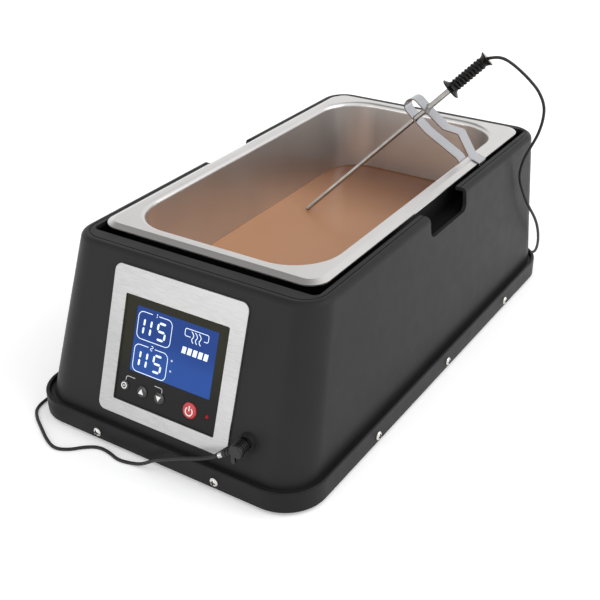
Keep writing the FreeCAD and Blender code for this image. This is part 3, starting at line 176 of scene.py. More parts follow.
class Surface:
    """A material whose colour, roughness and fine relief come from noise of a real size."""

    def __init__(self, name, colour, second, rough, metal=0.0):
        self.material = bpy.data.materials.new(name)
        self.material.use_nodes = True
        self.tree = self.material.node_tree
        self.shader = self.tree.nodes["Principled BSDF"]
        self.shader.inputs["Metallic"].default_value = metal
        self.shader.inputs["Roughness"].default_value = rough
        self.rough = rough
        self.colours = (colour, second)
        self.place = self.add("ShaderNodeTexCoord").outputs["Object"]
        self.relief = None

    def add(self, kind, **settings):
        """Adds a node and sets its properties or its sockets by name."""
        node = self.tree.nodes.new(kind)
        for key, value in settings.items():
            if hasattr(node, key):
                setattr(node, key, value)
            else:
                node.inputs[key].default_value = value
        return node

    def join(self, source, target):
        self.tree.links.new(source, target)

    def noise(self, size, stretch=(1, 1, 1), detail=3.0, turn=(0, 0, 0)):
        """Noise whose grains are about size metres across, drawn out along the axes by stretch."""
        mapping = self.add("ShaderNodeMapping")
        mapping.inputs["Rotation"].default_value = turn
        mapping.inputs["Scale"].default_value = [1 / (size * s) for s in stretch]
        self.join(self.place, mapping.inputs["Vector"])
        noise = self.add("ShaderNodeTexNoise", Scale=1.0, Detail=detail)
        self.join(mapping.outputs["Vector"], noise.inputs["Vector"])
        return noise.outputs["Fac"]

    def along(self, axis, start, end):
        """A factor that grows from 0 to 1 between two places in metres along an axis."""
        parts = self.add("ShaderNodeSeparateXYZ")
        self.join(self.place, parts.inputs["Vector"])
        span = self.add("ShaderNodeMapRange", interpolation_type="SMOOTHSTEP")
        span.inputs["From Min"].default_value = start
        span.inputs["From Max"].default_value = end
        self.join(parts.outputs[axis], span.inputs["Value"])
        return span.outputs["Result"]

    def both(self, first, second, share):
        """Two factors put together, the second with the given share."""
        mix = self.add("ShaderNodeMix")
        mix.inputs["Factor"].default_value = share
        self.join(first, mix.inputs["A"])
        self.join(second, mix.inputs["B"])
        return mix.outputs["Result"]

    def colour_by(self, factor, low=0.3, high=0.7):
        """Mixes the two colours by a factor, between the low and high limits."""
        ramp = self.add("ShaderNodeValToRGB")
        first, last = ramp.color_ramp.elements
        first.position, last.position = low, high
        first.color = (*self.colours[0], 1)
        last.color = (*self.colours[1], 1)
        self.join(factor, ramp.inputs["Fac"])
        self.join(ramp.outputs["Color"], self.shader.inputs["Base Color"])
        return self

    def rough_by(self, factor, spread):
        """Lets the roughness wander by the spread each way."""
        span = self.add("ShaderNodeMapRange")
        span.inputs["From Min"].default_value = 0.3
        span.inputs["From Max"].default_value = 0.7
        span.inputs["To Min"].default_value = max(0.02, self.rough - spread)
        span.inputs["To Max"].default_value = min(1.0, self.rough + spread)
        self.join(factor, span.inputs["Value"])
        self.join(span.outputs["Result"], self.shader.inputs["Roughness"])
        return self

    def bump(self, height, depth, strength=1.0):
        """Adds relief of about the given depth in metres."""
        node = self.add("ShaderNodeBump")
        node.inputs["Strength"].default_value = strength
        node.inputs["Distance"].default_value = depth
        self.join(height, node.inputs["Height"])
        if self.relief is not None:
            self.join(self.relief, node.inputs["Normal"])
        self.relief = node.outputs["Normal"]
        self.join(self.relief, self.shader.inputs["Normal"])
        return self

    def fix(self, **values):
        """Sets sockets of the shader that are the same all over, by name with _ for a space."""
        for key, value in values.items():
            self.shader.inputs[key.replace("_", " ")].default_value = value
        return self


def grey(tone):
    return (tone, tone, tone)


def moulded(name, colour, second, rough, specular=0.5):
    """Moulded plastic with a fine spark texture and faint flow marks."""
    s = Surface(name, colour, second, rough)
    s.colour_by(s.noise(0.05, detail=4.0))
    s.rough_by(s.noise(0.012, detail=4.0), 0.03)
    s.bump(s.noise(0.0006, detail=2.0), 0.00001)
    return s.fix(Specular_IOR_Level=specular)


def satin(name, colour, second, rough, stretch, depth):
    """Smooth sheet steel: a fine weak grain along the stretch under slow shifts of tone."""
    s = Surface(name, colour, second, rough, metal=1.0)
    grain = s.noise(0.0003, stretch, detail=3.0)
    s.colour_by(s.both(s.noise(0.03, detail=2.0), grain, 0.3), 0.35, 0.65)
    s.rough_by(grain, 0.008)
    s.bump(grain, depth)
    return s


def brushed(name, colour, second, rough, stretch, grain):
    """Sheet metal with grain drawn out along the stretch."""
    s = Surface(name, colour, second, rough, metal=1.0)
    lines = s.noise(grain, stretch, detail=5.0)
    s.colour_by(lines, 0.25, 0.75)
    s.rough_by(s.noise(grain * 3, stretch, detail=3.0), 0.07)
    s.bump(lines, 0.00002)
    return s


def plate_steel():
    """The bezel's steel: fine level grain with a few short stronger strokes in it."""
    s = Surface("brushed_bezel", grey(0.4), grey(0.49), 0.36, metal=1.0)
    lines = s.noise(0.00025, (50, 1, 1), detail=5.0)
    strokes = s.noise(0.0009, (9, 1, 1), detail=2.0)
    both = s.both(lines, strokes, 0.45)
    s.colour_by(both, 0.33, 0.6)
    s.rough_by(lines, 0.05)
    s.bump(both, 0.000004)
    return s.fix(Anisotropic=0.4)


def polished(name, colour, second, rough):
    """Plated or polished metal with faint smears."""
    s = Surface(name, colour, second, rough, metal=1.0)
    s.colour_by(s.noise(0.004, detail=4.0))
    s.rough_by(s.noise(0.006, detail=4.0), 0.05)
    s.bump(s.noise(0.0006, detail=2.0), 0.000004)
    return s


def glossy(name, colour, second, rough, coat=0.0, specular=0.5):
    """Smooth shiny plastic, with a coat where one is given."""
    s = Surface(name, colour, second, rough)
    s.colour_by(s.noise(0.01, detail=3.0))
    s.rough_by(s.noise(0.005, detail=4.0), 0.04)
    s.bump(s.noise(0.002, detail=2.0), 0.000006)
    return s.fix(Coat_Weight=coat, Coat_Roughness=0.08, Specular_IOR_Level=specular)


def rubbery(name, colour, second, rough):
    """Rubber, silicone or bare ceramic: dull and finely uneven."""
    s = Surface(name, colour, second, rough)
    s.colour_by(s.noise(0.003, detail=5.0))
    s.rough_by(s.noise(0.002, detail=3.0), 0.08)
    s.bump(s.noise(0.0004, detail=3.0), 0.00003)
    return s.fix(Specular_IOR_Level=0.35)


def lit(name, colour, second, strength, grain=0.01, heights=None):
    """A surface that gives light of its own. Its colour may shade from one height to another."""
    s = Surface(name, colour, second, 0.3)
    factor = s.noise(grain, detail=1.0)
    if heights:
        factor = s.both(factor, s.along("Z", *heights), 0.8)
    s.colour_by(factor)
    s.bump(s.noise(0.002, detail=1.0), 0.000003)
    ramp = s.shader.inputs["Base Color"].links[0].from_node
    s.join(ramp.outputs["Color"], s.shader.inputs["Emission Color"])
    return s.fix(Emission_Strength=strength, Specular_IOR_Level=0.12)


def fascia_film():
    """Dark printed film, a little browner at its top."""
    s = Surface("fascia_film", (0.009, 0.0095, 0.009), (0.018, 0.018, 0.009), 0.36)
    s.colour_by(s.both(s.noise(0.01, detail=3.0), s.along("Z", 0.03, 0.1), 0.8))
    s.rough_by(s.noise(0.004, detail=4.0), 0.03)
    s.bump(s.noise(0.0005, detail=2.0), 0.000003)
    return s.fix(Specular_IOR_Level=0.15)


def chocolate_surface():
    """Melted milk chocolate: a soft sheen and slow folds, with painted shadow that darkens it towards
    the back, where the pan's back wall shades it.
    """
    s = Surface("melted_milk_chocolate", (0.475, 0.232, 0.115), (0.155, 0.05, 0.012), 0.45)
    folds = s.noise(0.06, (1, 1.8, 1), detail=3.0, turn=(0, 0, 0.5))
    # painted shadow: the colour darkens from the front to the back along Y, standing in for the back
    # wall's shade
    s.colour_by(s.both(s.along("Y", 0.05, 0.17), folds, 0.12), 0.05, 0.95)
    s.rough_by(s.noise(0.02, detail=3.0), 0.03)
    s.bump(s.noise(0.05, (1, 2.2, 1), detail=1.0, turn=(0, 0, 0.4)), 0.0003, 0.5)
    s.fix(Subsurface_Weight=0.1, Subsurface_Radius=(0.004, 0.0015, 0.0008), Subsurface_Scale=1.0)
    return s.fix(Coat_Weight=0.1, Coat_Roughness=0.2, Specular_IOR_Level=0.4)


def circuit_board():
    """Green board with paler copper tracks under the mask."""
    s = Surface("circuit_board", (0.008, 0.07, 0.03), (0.02, 0.16, 0.07), 0.4)
    brick = s.add("ShaderNodeTexBrick")
    brick.inputs["Scale"].default_value = 160.0
    brick.inputs["Mortar Size"].default_value = 0.08
    brick.inputs["Color1"].default_value = (0, 0, 0, 1)
    brick.inputs["Color2"].default_value = (0.25, 0.25, 0.25, 1)
    brick.inputs["Mortar"].default_value = (1, 1, 1, 1)
    s.join(s.place, brick.inputs["Vector"])
    s.colour_by(brick.outputs["Color"], 0.1, 0.9)
    s.rough_by(s.noise(0.002), 0.05)
    s.bump(brick.outputs["Color"], 0.00003)
    return s


def laminated():
    """The stacked sheets of a transformer core."""
    s = Surface("transformer_core", (0.12, 0.11, 0.1), (0.3, 0.28, 0.25), 0.45, metal=0.7)
    sheets = s.noise(0.0005, (40, 40, 1), detail=1.0)
    s.colour_by(sheets)
    s.bump(sheets, 0.0001)
    return s


def fibre():
    """The soft fibre blanket round the well."""
    s = Surface("ceramic_fibre", (0.62, 0.6, 0.55), (0.82, 0.8, 0.75), 0.95)
    hairs = s.noise(0.0012, (6, 1, 1), detail=6.0, turn=(0.4, 0.3, 0.7))
    s.colour_by(hairs)
    s.bump(hairs, 0.0006)
    s.bump(s.noise(0.02, detail=3.0), 0.002)
    return s.fix(Sheen_Weight=0.3)


def printed_white():
    """White print on the panel and the buttons."""
    s = Surface("white_print", (0.72, 0.72, 0.7), (0.8, 0.8, 0.78), 0.45)
    s.colour_by(s.noise(0.001))
    s.bump(s.noise(0.0003), 0.000005)
    return s.material


def outer_surfaces():
    """The surfaces of the housing, the pan and what stands in it."""
    housing = ((0.0185, 0.0185, 0.0188), (0.0215, 0.0215, 0.0218))
    tray = ((0.0085, 0.0085, 0.0088), (0.011, 0.011, 0.0112))
    pan = ((0.62, 0.605, 0.593), (0.65, 0.635, 0.623))
    clip = ((0.42, 0.425, 0.445), (0.48, 0.485, 0.505))
    return {
        "housing": moulded("housing_plastic", *housing, 0.42, specular=0.12),
        "tray": moulded("tray_plastic", *tray, 0.42, specular=0.14),
        "collar": moulded("collar_plastic", grey(0.005), grey(0.007), 0.5, specular=0.15),
        "stainless": satin("satin_stainless", *pan, 0.3, (1, 14, 1), 0.0000002),
        "bezel": plate_steel(),
        "clip": satin("clip_steel", *clip, 0.22, (1, 20, 1), 0.0000005),
        "probe_metal": polished("probe_chrome", (0.34, 0.325, 0.305), (0.43, 0.41, 0.385), 0.1),
        "chocolate": chocolate_surface(),
    }


def well_surfaces():
    """The surfaces of the heating well and what stands round it."""
    well = ((0.5, 0.5, 0.51), (0.66, 0.66, 0.67))
    zinc = ((0.42, 0.43, 0.44), (0.6, 0.61, 0.62))
    return {
        "aluminium": brushed("drawn_aluminium", *well, 0.38, (1, 1, 12), 0.0005),
        "heater": rubbery("silicone_heater", (0.36, 0.08, 0.03), (0.45, 0.12, 0.05), 0.6),
        "blanket": fibre(),
        "zinc": brushed("zinc_sheet", *zinc, 0.4, (3, 3, 1), 0.003),
        "ceramic": rubbery("white_ceramic", (0.7, 0.68, 0.63), (0.78, 0.76, 0.71), 0.5),
    }


def panel_surfaces():
    """The surfaces of the control panel and the probe's jack."""
    display = ((0.012, 0.043, 0.18), (0.008, 0.029, 0.135))
    black = ((0.007, 0.007, 0.006), (0.011, 0.011, 0.01))
    red = ((0.42, 0.012, 0.02), (0.5, 0.018, 0.028))
    lamp = ((0.2, 0.008, 0.012), (0.28, 0.012, 0.018))
    return {
        "fascia": fascia_film(),
        "lcd_glass": lit("lit_display", *display, 0.8, 0.02, (0.058, 0.096)),
        "lcd_case": moulded("display_case", (0.03, 0.03, 0.033), (0.04, 0.04, 0.043), 0.5),
        "board": circuit_board(),
        "switch": moulded("switch_plastic", grey(0.02), grey(0.03), 0.45),
        "button_black": glossy("button_black", *black, 0.25, coat=0.2),
        "button_red": glossy("button_red", *red, 0.35, coat=0.2),
        "led_red": lit("lamp_red", *lamp, 0.25, 0.001),
        "jack": glossy("jack_plastic", grey(0.006), grey(0.01), 0.3),
        "black_metal": polished("black_nut", grey(0.04), grey(0.06), 0.35),
    }


def cord_surfaces():
    """The surfaces of the plug, the probe's handle, the cord and the power inlet."""
    return {
        "plug": moulded("plug_plastic", grey(0.006), grey(0.01), 0.38, specular=0.4),
        "gold": polished("gold_plate", (0.75, 0.52, 0.18), (0.85, 0.62, 0.25), 0.15),
        "ferrule": polished("bright_ferrule", grey(0.42), grey(0.52), 0.12),
        "handle": glossy("handle_black", grey(0.0025), grey(0.004), 0.12, specular=0.22),
        "cord": rubbery("cord_rubber", grey(0.008), grey(0.013), 0.45),
        "inlet": moulded("inlet_plastic", grey(0.008), grey(0.012), 0.42),
    }


def small_surfaces():
    """The surfaces of the screws, the feet and the parts on the power board."""
    return {
        "screw": polished("nickel_screw", (0.6, 0.58, 0.55), (0.74, 0.72, 0.69), 0.2),
        "screw_dark": polished("dark_screw", grey(0.06), grey(0.1), 0.35),
        "foot": rubbery("foot_rubber", grey(0.012), grey(0.02), 0.75),
        "standoff": moulded("nylon", (0.68, 0.68, 0.65), (0.74, 0.74, 0.71), 0.5),
        "transformer": laminated(),
        "relay": glossy("relay_blue", (0.03, 0.12, 0.4), (0.04, 0.16, 0.48), 0.35),
        "capacitor": glossy("capacitor_sleeve", (0.02, 0.03, 0.1), (0.03, 0.045, 0.14), 0.3),
        "terminal": moulded("terminal_green", (0.03, 0.2, 0.06), (0.04, 0.26, 0.08), 0.5),
    }


def slot_materials():
    """The material of every slot in the record."""
    made = outer_surfaces()
    made.update(well_surfaces())
    made.update(panel_surfaces())
    made.update(cord_surfaces())
    made.update(small_surfaces())
    return {slot: s.material for slot, s in made.items()}


MATERIALS = slot_materials()


def dress_nodes():
    """Gives every carried-over node the material of its slot."""
    for part in frame["record"]["subparts"]:
        mesh = NODES[part["node"]].data
        mesh.materials.clear()
        mesh.materials.append(MATERIALS[part["material_slot"]])


# Pieces and their meshes

def piece(name, mesh, material):
    """A new object in the scene with one material."""
    mesh.materials.clear()
    mesh.materials.append(material)
    made = bpy.data.objects.new(name, mesh)
    bpy.context.scene.collection.objects.link(made)
    return made


def mesh_of(name, vertices, faces, smooth=False):
    """A mesh from points and faces."""
    mesh = bpy.data.meshes.new(name)
    mesh.from_pydata([tuple(v) for v in vertices], [], faces)
    mesh.validate()
    if smooth:
        mesh.shade_smooth()
    return mesh


def skin(rings):
    """The points and faces of a closed body through rings that have equally many points."""
    count = len(rings[0])
    faces = []
    for r in range(len(rings) - 1):
        for i in range(count):
            j = (i + 1) % count
            faces.append([r * count + i, r * count + j, (r + 1) * count + j, (r + 1) * count + i])
    faces.append(list(reversed(range(count))))
    last = (len(rings) - 1) * count
    faces.append([last + i for i in range(count)])
    return [point for ring in rings for point in ring], faces


def on_panel(x, up, out):
    """Panel millimetres (across, up the slope, outwards) as a point in the frame."""
    tilt = math.radians(PANEL_TILT)
    y = PANEL_FOOT_Y + MM * (up * math.sin(tilt) - out * math.cos(tilt))
    z = PANEL_FOOT_Z + MM * (up * math.cos(tilt) + out * math.sin(tilt))
    return Vector((MM * x, y, z))


def arc(cx, cy, radius, start, end, steps):
    """Points of an arc between two angles in degrees, on the panel."""
    found = []
    for i in range(steps + 1):
        a = math.radians(start + (end - start) * i / steps)
        found.append((cx + radius * math.cos(a), cy + radius * math.sin(a)))
    return found


def stroke(points, width, closed=False):
    """The left and the right side of a line of the given width, as points."""
    steps = []
    for here, there in zip(points, points[1:] + points[:1]):
        steps.append((Vector(there) - Vector(here)).normalized())
    left, right = [], []
    for i, place in enumerate(points):
        into = steps[i - 1] if i or closed else steps[0]
        out = steps[i] if i < len(points) - 1 or closed else steps[-2]
        along = (into + out).normalized()
        side = Vector((-along.y, along.x))
        # at a sharp bend the sides go out by the whole width at most
        reach = width / 2 / max(0.5, side.dot(Vector((-out.y, out.x))))
        left.append(Vector(place) + side * reach)
        right.append(Vector(place) - side * reach)
    return left, right


class Marks:
    """Thin raised marks on the panel, gathered into one mesh."""

    def __init__(self, out, thick):
        self.out = out
        self.thick = thick
        self.vertices = []
        self.faces = []

    def plate(self, outline):
        """A flat plate with the outline of 2-D points, anticlockwise."""
        base = len(self.vertices)
        count = len(outline)
        for level in (self.out, self.out + self.thick):
            self.vertices += [on_panel(x, y, level) for x, y in outline]
        self.faces.append([base + count + i for i in range(count)])
        self.faces.append([base + i for i in reversed(range(count))])
        for i in range(count):
            j = (i + 1) % count
            self.faces.append([base + i, base + j, base + count + j, base + count + i])

    def line(self, points, width, closed=False):
        """A line of the given width, as one plate for each of its steps."""
        left, right = stroke(points, width, closed)
        steps = len(points) if closed else len(points) - 1
        for i in range(steps):
            j = (i + 1) % len(points)
            self.plate([tuple(right[i]), tuple(right[j]), tuple(left[j]), tuple(left[i])])

    def show(self, name, material, body):
        """Makes one piece of the marks, which rides on a body."""
        made = piece(name, mesh_of(name, self.vertices, self.faces), material)
        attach(made, body)


# Display and symbols

def segment_ends(width, height):
    """The two ends of each of the seven segments of a digit, from its lower left corner."""
    half = height / 2
    return {
        "a": ((0, height), (width, height)), "g": ((0, half), (width, half)), "d": ((0, 0), (width, 0)),
        "f": ((0, half), (0, height)), "b": ((width, half), (width, height)),
        "e": ((0, 0), (0, half)), "c": ((width, 0), (width, half)),
    }


def digit(marks, value, x, low, width, height, thick):
    """A seven-segment digit with pointed segment ends and small gaps between them."""
    for name in DIGIT_SEGMENTS[value]:
        a, b = [Vector(end) for end in segment_ends(width, height)[name]]
        along = (b - a).normalized()
        side = Vector((-along.y, along.x)) * thick / 2
        point = along * thick / 2
        a += along * (thick * SEGMENT_GAP)
        b -= along * (thick * SEGMENT_GAP)
        shape = [a, a + point - side, b - point - side, b, b - point + side, a + point + side]
        marks.plate([(x + p.x + DIGIT_SLANT * p.y, low + p.y) for p in shape])


def number(marks, text, ends, low, height, thick):
    """Digits whose right sides stand at the given places."""
    width = height * DIGIT_WIDTH
    for value, right in zip(text, ends):
        digit(marks, value, right - width, low, width, height, thick)


def framed(left, right, low, high, corner, gap_left, gap_right):
    """A round-cornered frame with a gap in its upper side, as one open line."""
    points = [(gap_right, high)] + arc(right - corner, high - corner, corner, 90, 0, 6)
    points += arc(right - corner, low + corner, corner, 0, -90, 6)
    points += arc(left + corner, low + corner, corner, -90, -180, 6)
    points += arc(left + corner, high - corner, corner, 180, 90, 6)
    return points + [(gap_left, high)]


def temperatures(marks):
    """Two frames, each round a temperature and with its own number in the gap."""
    for low, high, digits_low, label in ((67.8, 87.3, 71.3, "1"), (44.0, 63.7, 48.1, "2")):
        marks.line(framed(-32.0, -2.7, low, high, 4.0, -20.2, -14.6), 0.5)
        number(marks, "115", (-26.9, -20.9, -8.2), digits_low, 11.7, 1.6)
        number(marks, label, (-16.4,), high - 1.6, 3.2, 0.5)


def heat_sign(marks):
    """Three waves of heat with a round-cornered line about them."""
    right = arc(26.9, 84.9, 1.2, 90, 0, 4) + arc(26.9, 82.1, 1.2, 0, -90, 4)
    marks.line([(22.4, 86.1)] + right + [(24.6, 80.9)], 0.5)
    left = arc(9.7, 82.1, 1.2, -90, -180, 4) + arc(9.7, 84.9, 1.2, 180, 90, 4)
    marks.line([(13.4, 80.9)] + left + [(22.4, 86.1)], 0.5)
    for i in range(3):
        x = 14.6 + 3.1 * i
        wave = [(x - 0.9, 84.9), (x + 0.4, 84.0), (x + 1.3, 82.4), (x + 0.9, 81.0)]
        wave += [(x, 79.8), (x + 0.3, 78.4), (x + 1.5, 77.3)]
        marks.line(wave, 0.6)


def display_marks():
    """What the display shows, with a row of blocks where the real one has words."""
    marks = Marks(*GLASS_MARKS)
    temperatures(marks)
    heat_sign(marks)
    for i in range(5):
        x = 7.6 + 4.6 * i
        marks.plate([(x, 68.4), (x + 3.3, 68.4), (x + 4.0, 73.2), (x + 0.7, 73.2)])
    for up in (60.3, 52.7):
        marks.line(arc(0.8, up, 0.55, 0, 330, 11), 0.3, closed=True)
    white = lit("display_white", (0.62, 0.72, 0.84), (0.7, 0.8, 0.92), 0.45).material
    marks.show("display_marks", white, "housing")


def panel_bracket(white):
    """The line over the three black buttons, open where words stood."""
    bracket = Marks(*FASCIA_MARKS)
    bracket.line([(-35.8, 34.6)] + arc(-33.9, 36.6, 1.9, 180, 90, 5) + [(-28.0, 38.5)], 0.35)
    bracket.line([(-10.4, 38.5)] + arc(-5.5, 36.6, 1.9, 90, 0, 5) + [(-3.6, 34.9)], 0.35)
    bracket.show("panel_bracket", white, "housing")


def button_signs(white):
    """The signs on the four buttons, each of which rides on its own."""
    up = Marks(*BUTTON_MARKS)
    up.plate([(-22.9, 29.4), (-18.4, 29.4), (-20.65, 33.3)])
    up.show("symbol_up", white, "button_up")
    down = Marks(*BUTTON_MARKS)
    down.plate([(-5.3, 29.0), (-3.1, 32.7), (-7.6, 32.7)])
    down.show("symbol_down", white, "button_down")
    ring = Marks(*BUTTON_MARKS)
    ring.line(arc(-36.1, 31.2, 2.05, 0, 345, 23), 0.75, closed=True)
    ring.line([(-36.9, 30.7), (-36.0, 31.6), (-35.3, 31.0)], 0.6)
    ring.show("symbol_settings", white, "button_settings")
    power = Marks(*BUTTON_MARKS)
    power.line(arc(21.5, 30.6, 2.9, 125, 415, 22), 0.85)
    power.line([(21.5, 30.9), (21.5, 34.6)], 0.85)
    power.show("symbol_power", white, "button_start_stop")


# Screws

def shadow_cross(place, out):
    """The points and faces of a thin dark cross over a screw's recess, facing outwards: painted shade
    in the recess.
    """
    across = Vector((0, 0, 1)).cross(out)
    arm, half = CROSS_ARM, CROSS_HALF_WIDTH
    corners = []
    for turn in range(4):
        for a, b in ((arm, -half), (arm, half), (half, half)):
            for _ in range(turn):
                a, b = -b, a
            corners.append(place + across * a + Vector((0, 0, b)))
    back = [corner - out * CROSS_THICK for corner in corners]
    count = len(corners)
    faces = [list(range(count)), list(reversed(range(count, 2 * count)))]
    for i in range(count):
        j = (i + 1) % count
        faces.append([i, i + count, j + count, j])
    return corners + back, faces


def reach_of(node, axis):
    """How far a carried-over node reaches along an axis."""
    return max((node.matrix_world @ Vector(corner))[axis] for corner in node.bound_box)


def screw_seats():
    """The middle of each skirt screw's head, with the direction that it faces."""
    side_x, end_y = [reach_of(NODES["skirt_screws"], axis) for axis in (0, 1)]
    seats = []
    for side in (-1, 1):
        for end in (-1, 1):
            seats.append((Vector((side * SCREW_END_X, end * end_y, SCREW_Z)), Vector((0, end, 0))))
    front = SCREW_HEAD_HEIGHT - end_y + SCREW_SIDE_START
    for side in (-1, 1):
        for i in range(3):
            y = front + SCREW_SIDE_STEP * i
            seats.append((Vector((side * side_x, y, SCREW_Z)), Vector((side, 0, 0))))
    return seats


def shade_screw_recesses():
    """The dark crosses in the heads of the ten skirt screws: painted shade in their recesses."""
    vertices, faces = [], []
    for place, out in screw_seats():
        found, shapes = shadow_cross(place + out * CROSS_LIFT, out)
        faces += [[i + len(vertices) for i in shape] for shape in shapes]
        vertices += found
    mesh = mesh_of("skirt_screw_recess_shadows", vertices, faces)
    # painted shade: the dark foot rubber stands in for the shadow in each recess
    made = piece("skirt_screw_recess_shadows", mesh, MATERIALS["foot"])
    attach(made, "housing")


# Chocolate

def rounded(half_x, half_y, corner, steps=12):
    """Points round a rectangle with round corners, centred on the pan."""
    points = []
    for k, (sx, sy) in enumerate(((1, 1), (-1, 1), (-1, -1), (1, -1))):
        for i in range(steps + 1):
            a = math.radians(90 * k + 90 * i / steps)
            x = sx * (half_x - corner) + corner * math.cos(a)
            y = PAN_Y + sy * (half_y - corner) + corner * math.sin(a)
            points.append((x, y))
    return points


def pan_ring(z, inset):
    """A ring of points at a height, inside the pan's wall by the inset."""
    shrink = (RIM_Z - z) * math.tan(math.radians(PAN_TAPER)) + inset
    corner = max(0.001, PAN_OPEN_CORNER - shrink)
    return [(x, y, z) for x, y in rounded(PAN_OPEN[0] - shrink, PAN_OPEN[1] - shrink, corner)]


def chocolate():
    """The melted chocolate: its foot follows the pan's round floor, and its top climbs the wall."""
    rings = []
    for degrees in range(0, 91, 15):
        a = math.radians(degrees)
        low = CHOCOLATE_LOW + PAN_FLOOR_ROUND * (1 - math.cos(a))
        rings.append(pan_ring(low, CHOCOLATE_GAP + PAN_FLOOR_ROUND * (1 - math.sin(a))))
    rings.append(pan_ring(CHOCOLATE_Z, CHOCOLATE_TOP_GAP))
    for inset, rise in CHOCOLATE_EDGE:
        rings.append([(x, y, z + rise) for x, y, z in pan_ring(CHOCOLATE_Z, inset)])
    mesh = mesh_of("chocolate_pool", *skin(rings), smooth=True)
    body = piece("chocolate_pool", mesh, MATERIALS["chocolate"])
    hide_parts("melted_chocolate")
    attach(body, "pan")


# Cord

def cord_line():
    """Points of the cord's middle line, from the handle to the plug."""
    points = [PROBE_TIP + PROBE_LINE * CORD_START] + [Vector(p) for p in CORD_POINTS]
    points += [CORD_END + BOOT_LINE * CORD_LEAD, CORD_END]
    curve = bpy.data.curves.new("cord_line", "CURVE")
    curve.dimensions = "3D"
    curve.resolution_u = 10
    spline = curve.splines.new("NURBS")
    spline.points.add(len(points) - 1)
    for target, p in zip(spline.points, points):
        target.co = (*p, 1)
    spline.order_u = 3
    spline.use_endpoint_u = True
    holder = bpy.data.objects.new("cord_line", curve)
    bpy.context.scene.collection.objects.link(holder)
    bpy.context.view_layer.update()
    mesh = bpy.data.meshes.new_from_object(holder)
    found = [v.co.copy() for v in mesh.vertices]
    bpy.data.objects.remove(holder)
    return found


def cord_rings(line, radius):
    """A ring of points about each place on the line, without twist."""
    rings = []
    side = (line[1] - line[0]).normalized().orthogonal().normalized()
    for i, p in enumerate(line):
        before = line[max(0, i - 1)]
        after = line[min(len(line) - 1, i + 1)]
        now = (after - before).normalized()
        side = (side - now * side.dot(now)).normalized()
        other = now.cross(side)
        ring = []
        for k in range(CORD_SIDES):
            a = 2 * math.pi * k / CORD_SIDES
            ring.append(p + (side * math.cos(a) + other * math.sin(a)) * radius)
        rings.append(ring)
    return rings


def cord_stretch(name, line, rings, first, last):
    """One stretch of the cord between two places on its line, with its own line and length."""
    mesh = mesh_of(name, *skin(rings[first:last + 1]), smooth=True)
    made = piece(name, mesh, MATERIALS["cord"])
    path = line[first:last + 1]
    length = sum((b - a).length for a, b in zip(path, path[1:]))
    return made, path, length


def nearest(line, place):
    """The number of the point on the line that is nearest to a place."""
    return min(range(len(line)), key=lambda i: (line[i] - Vector(place)).length)


def bind_stretch(made, bodies, at_plug):
    """Fixes a stretch where it lies. The one on the table rides on the housing, and the cord part from
    the model is hidden.
    """
    if bodies is None:
        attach(made, "housing")
        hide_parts("probe_cord")
    elif at_plug:
        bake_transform(made)
    else:
        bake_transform(made)


def cord():
    """The probe's cord in stretches, cut near the given places."""
    line = cord_line()
    rings = cord_rings(line, CORD_DIAMETER / 2)
    cuts = [0] + [nearest(line, place) for place in CORD_CUTS] + [len(line) - 1]
    for i, (name, bodies) in enumerate(CORD_STRETCHES):
        made, path, length = cord_stretch(name, line, rings, cuts[i], cuts[i + 1])
        at_plug = name == "cord_at_plug"
        bind_stretch(made, bodies, at_plug)


# Stage

def camera():
    """The camera at the photograph's place, with its yaw, pitch and roll."""
    yaw, pitch, roll = CAMERA_YAW, CAMERA_PITCH, CAMERA_ROLL
    level = math.cos(pitch)
    forward = Vector((-math.sin(yaw) * level, math.cos(yaw) * level, -math.sin(pitch)))
    right = Vector((math.cos(yaw), math.sin(yaw), 0))
    down = forward.cross(right)
    across = right * math.cos(roll) + down * math.sin(roll)
    up = right * math.sin(roll) - down * math.cos(roll)
    data = bpy.data.cameras.new("camera")
    data.lens = CAMERA_LENS
    data.sensor_width = SENSOR_WIDTH
    data.clip_start, data.clip_end = 0.01, 100
    made = bpy.data.objects.new("camera", data)
    bpy.context.scene.collection.objects.link(made)
    place = Matrix((across, up, -forward)).transposed().to_4x4()
    place.translation = Vector(CAMERA_PLACE)
    made.matrix_world = place
    bpy.context.scene.camera = made


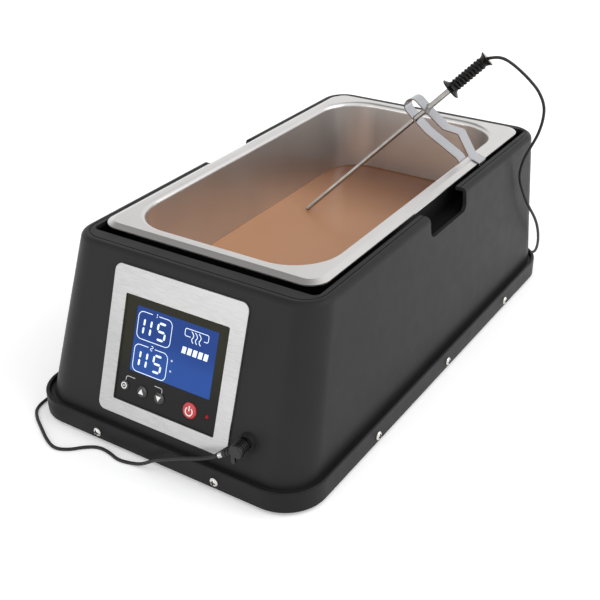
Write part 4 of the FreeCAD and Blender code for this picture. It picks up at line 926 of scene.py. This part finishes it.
def floor():
    """The plain pale floor, which gives a little light of its own."""
    half = FLOOR_HALF
    corners = [(-half, -half, 0), (half, -half, 0), (half, half, 0), (-half, half, 0)]
    s = Surface("pale_floor", grey(0.92), grey(0.94), 0.8)
    s.colour_by(s.noise(0.5))
    s.fix(Specular_IOR_Level=0.1, Emission_Color=(1, 1, 1, 1), Emission_Strength=FLOOR_GLOW)
    made = piece("floor", mesh_of("floor", corners, [[0, 1, 2, 3]]), s.material)


def area_light(name, place, target, size, power):
    """A rectangular light at a place, facing a target."""
    data = bpy.data.lights.new(name, "AREA")
    data.shape = "RECTANGLE"
    data.size, data.size_y = size
    data.energy = power
    made = bpy.data.objects.new(name, data)
    bpy.context.scene.collection.objects.link(made)
    made.location = place
    made.rotation_mode = "QUATERNION"
    made.rotation_quaternion = (Vector(target) - Vector(place)).to_track_quat("-Z", "Y")


def sky():
    """A white sky with one dark card in it, high on the left."""
    world = bpy.data.worlds.new("studio")
    bpy.context.scene.world = world
    world.use_nodes = True
    tree = world.node_tree
    back = tree.nodes["Background"]
    back.inputs["Strength"].default_value = SKY_STRENGTH
    place = tree.nodes.new("ShaderNodeTexCoord")
    card = tree.nodes.new("ShaderNodeVectorMath")
    card.operation = "DOT_PRODUCT"
    card.inputs[1].default_value = CARD_LINE
    ramp = tree.nodes.new("ShaderNodeValToRGB")
    first, last = ramp.color_ramp.elements
    first.position, last.position = CARD_EDGE
    first.color = (1, 1, 1, 1)
    last.color = (*grey(CARD_TONE), 1)
    tree.links.new(place.outputs["Generated"], card.inputs[0])
    tree.links.new(card.outputs["Value"], ramp.inputs["Fac"])
    tree.links.new(ramp.outputs["Color"], back.inputs["Color"])


def lights():
    """The sky, a large soft key light from the right and a weak light from the front."""
    sky()
    area_light("key", *KEY_LIGHT)
    area_light("front", *FRONT_LIGHT)


def main():
    camera()
    bpy.context.scene.view_settings.view_transform = "Standard"
    cord()
    dress_nodes()
    display_marks()
    white = printed_white()
    panel_bracket(white)
    button_signs(white)
    # painted shade in the recesses of the skirt screws
    shade_screw_recesses()
    chocolate()
    floor()
    lights()


main()
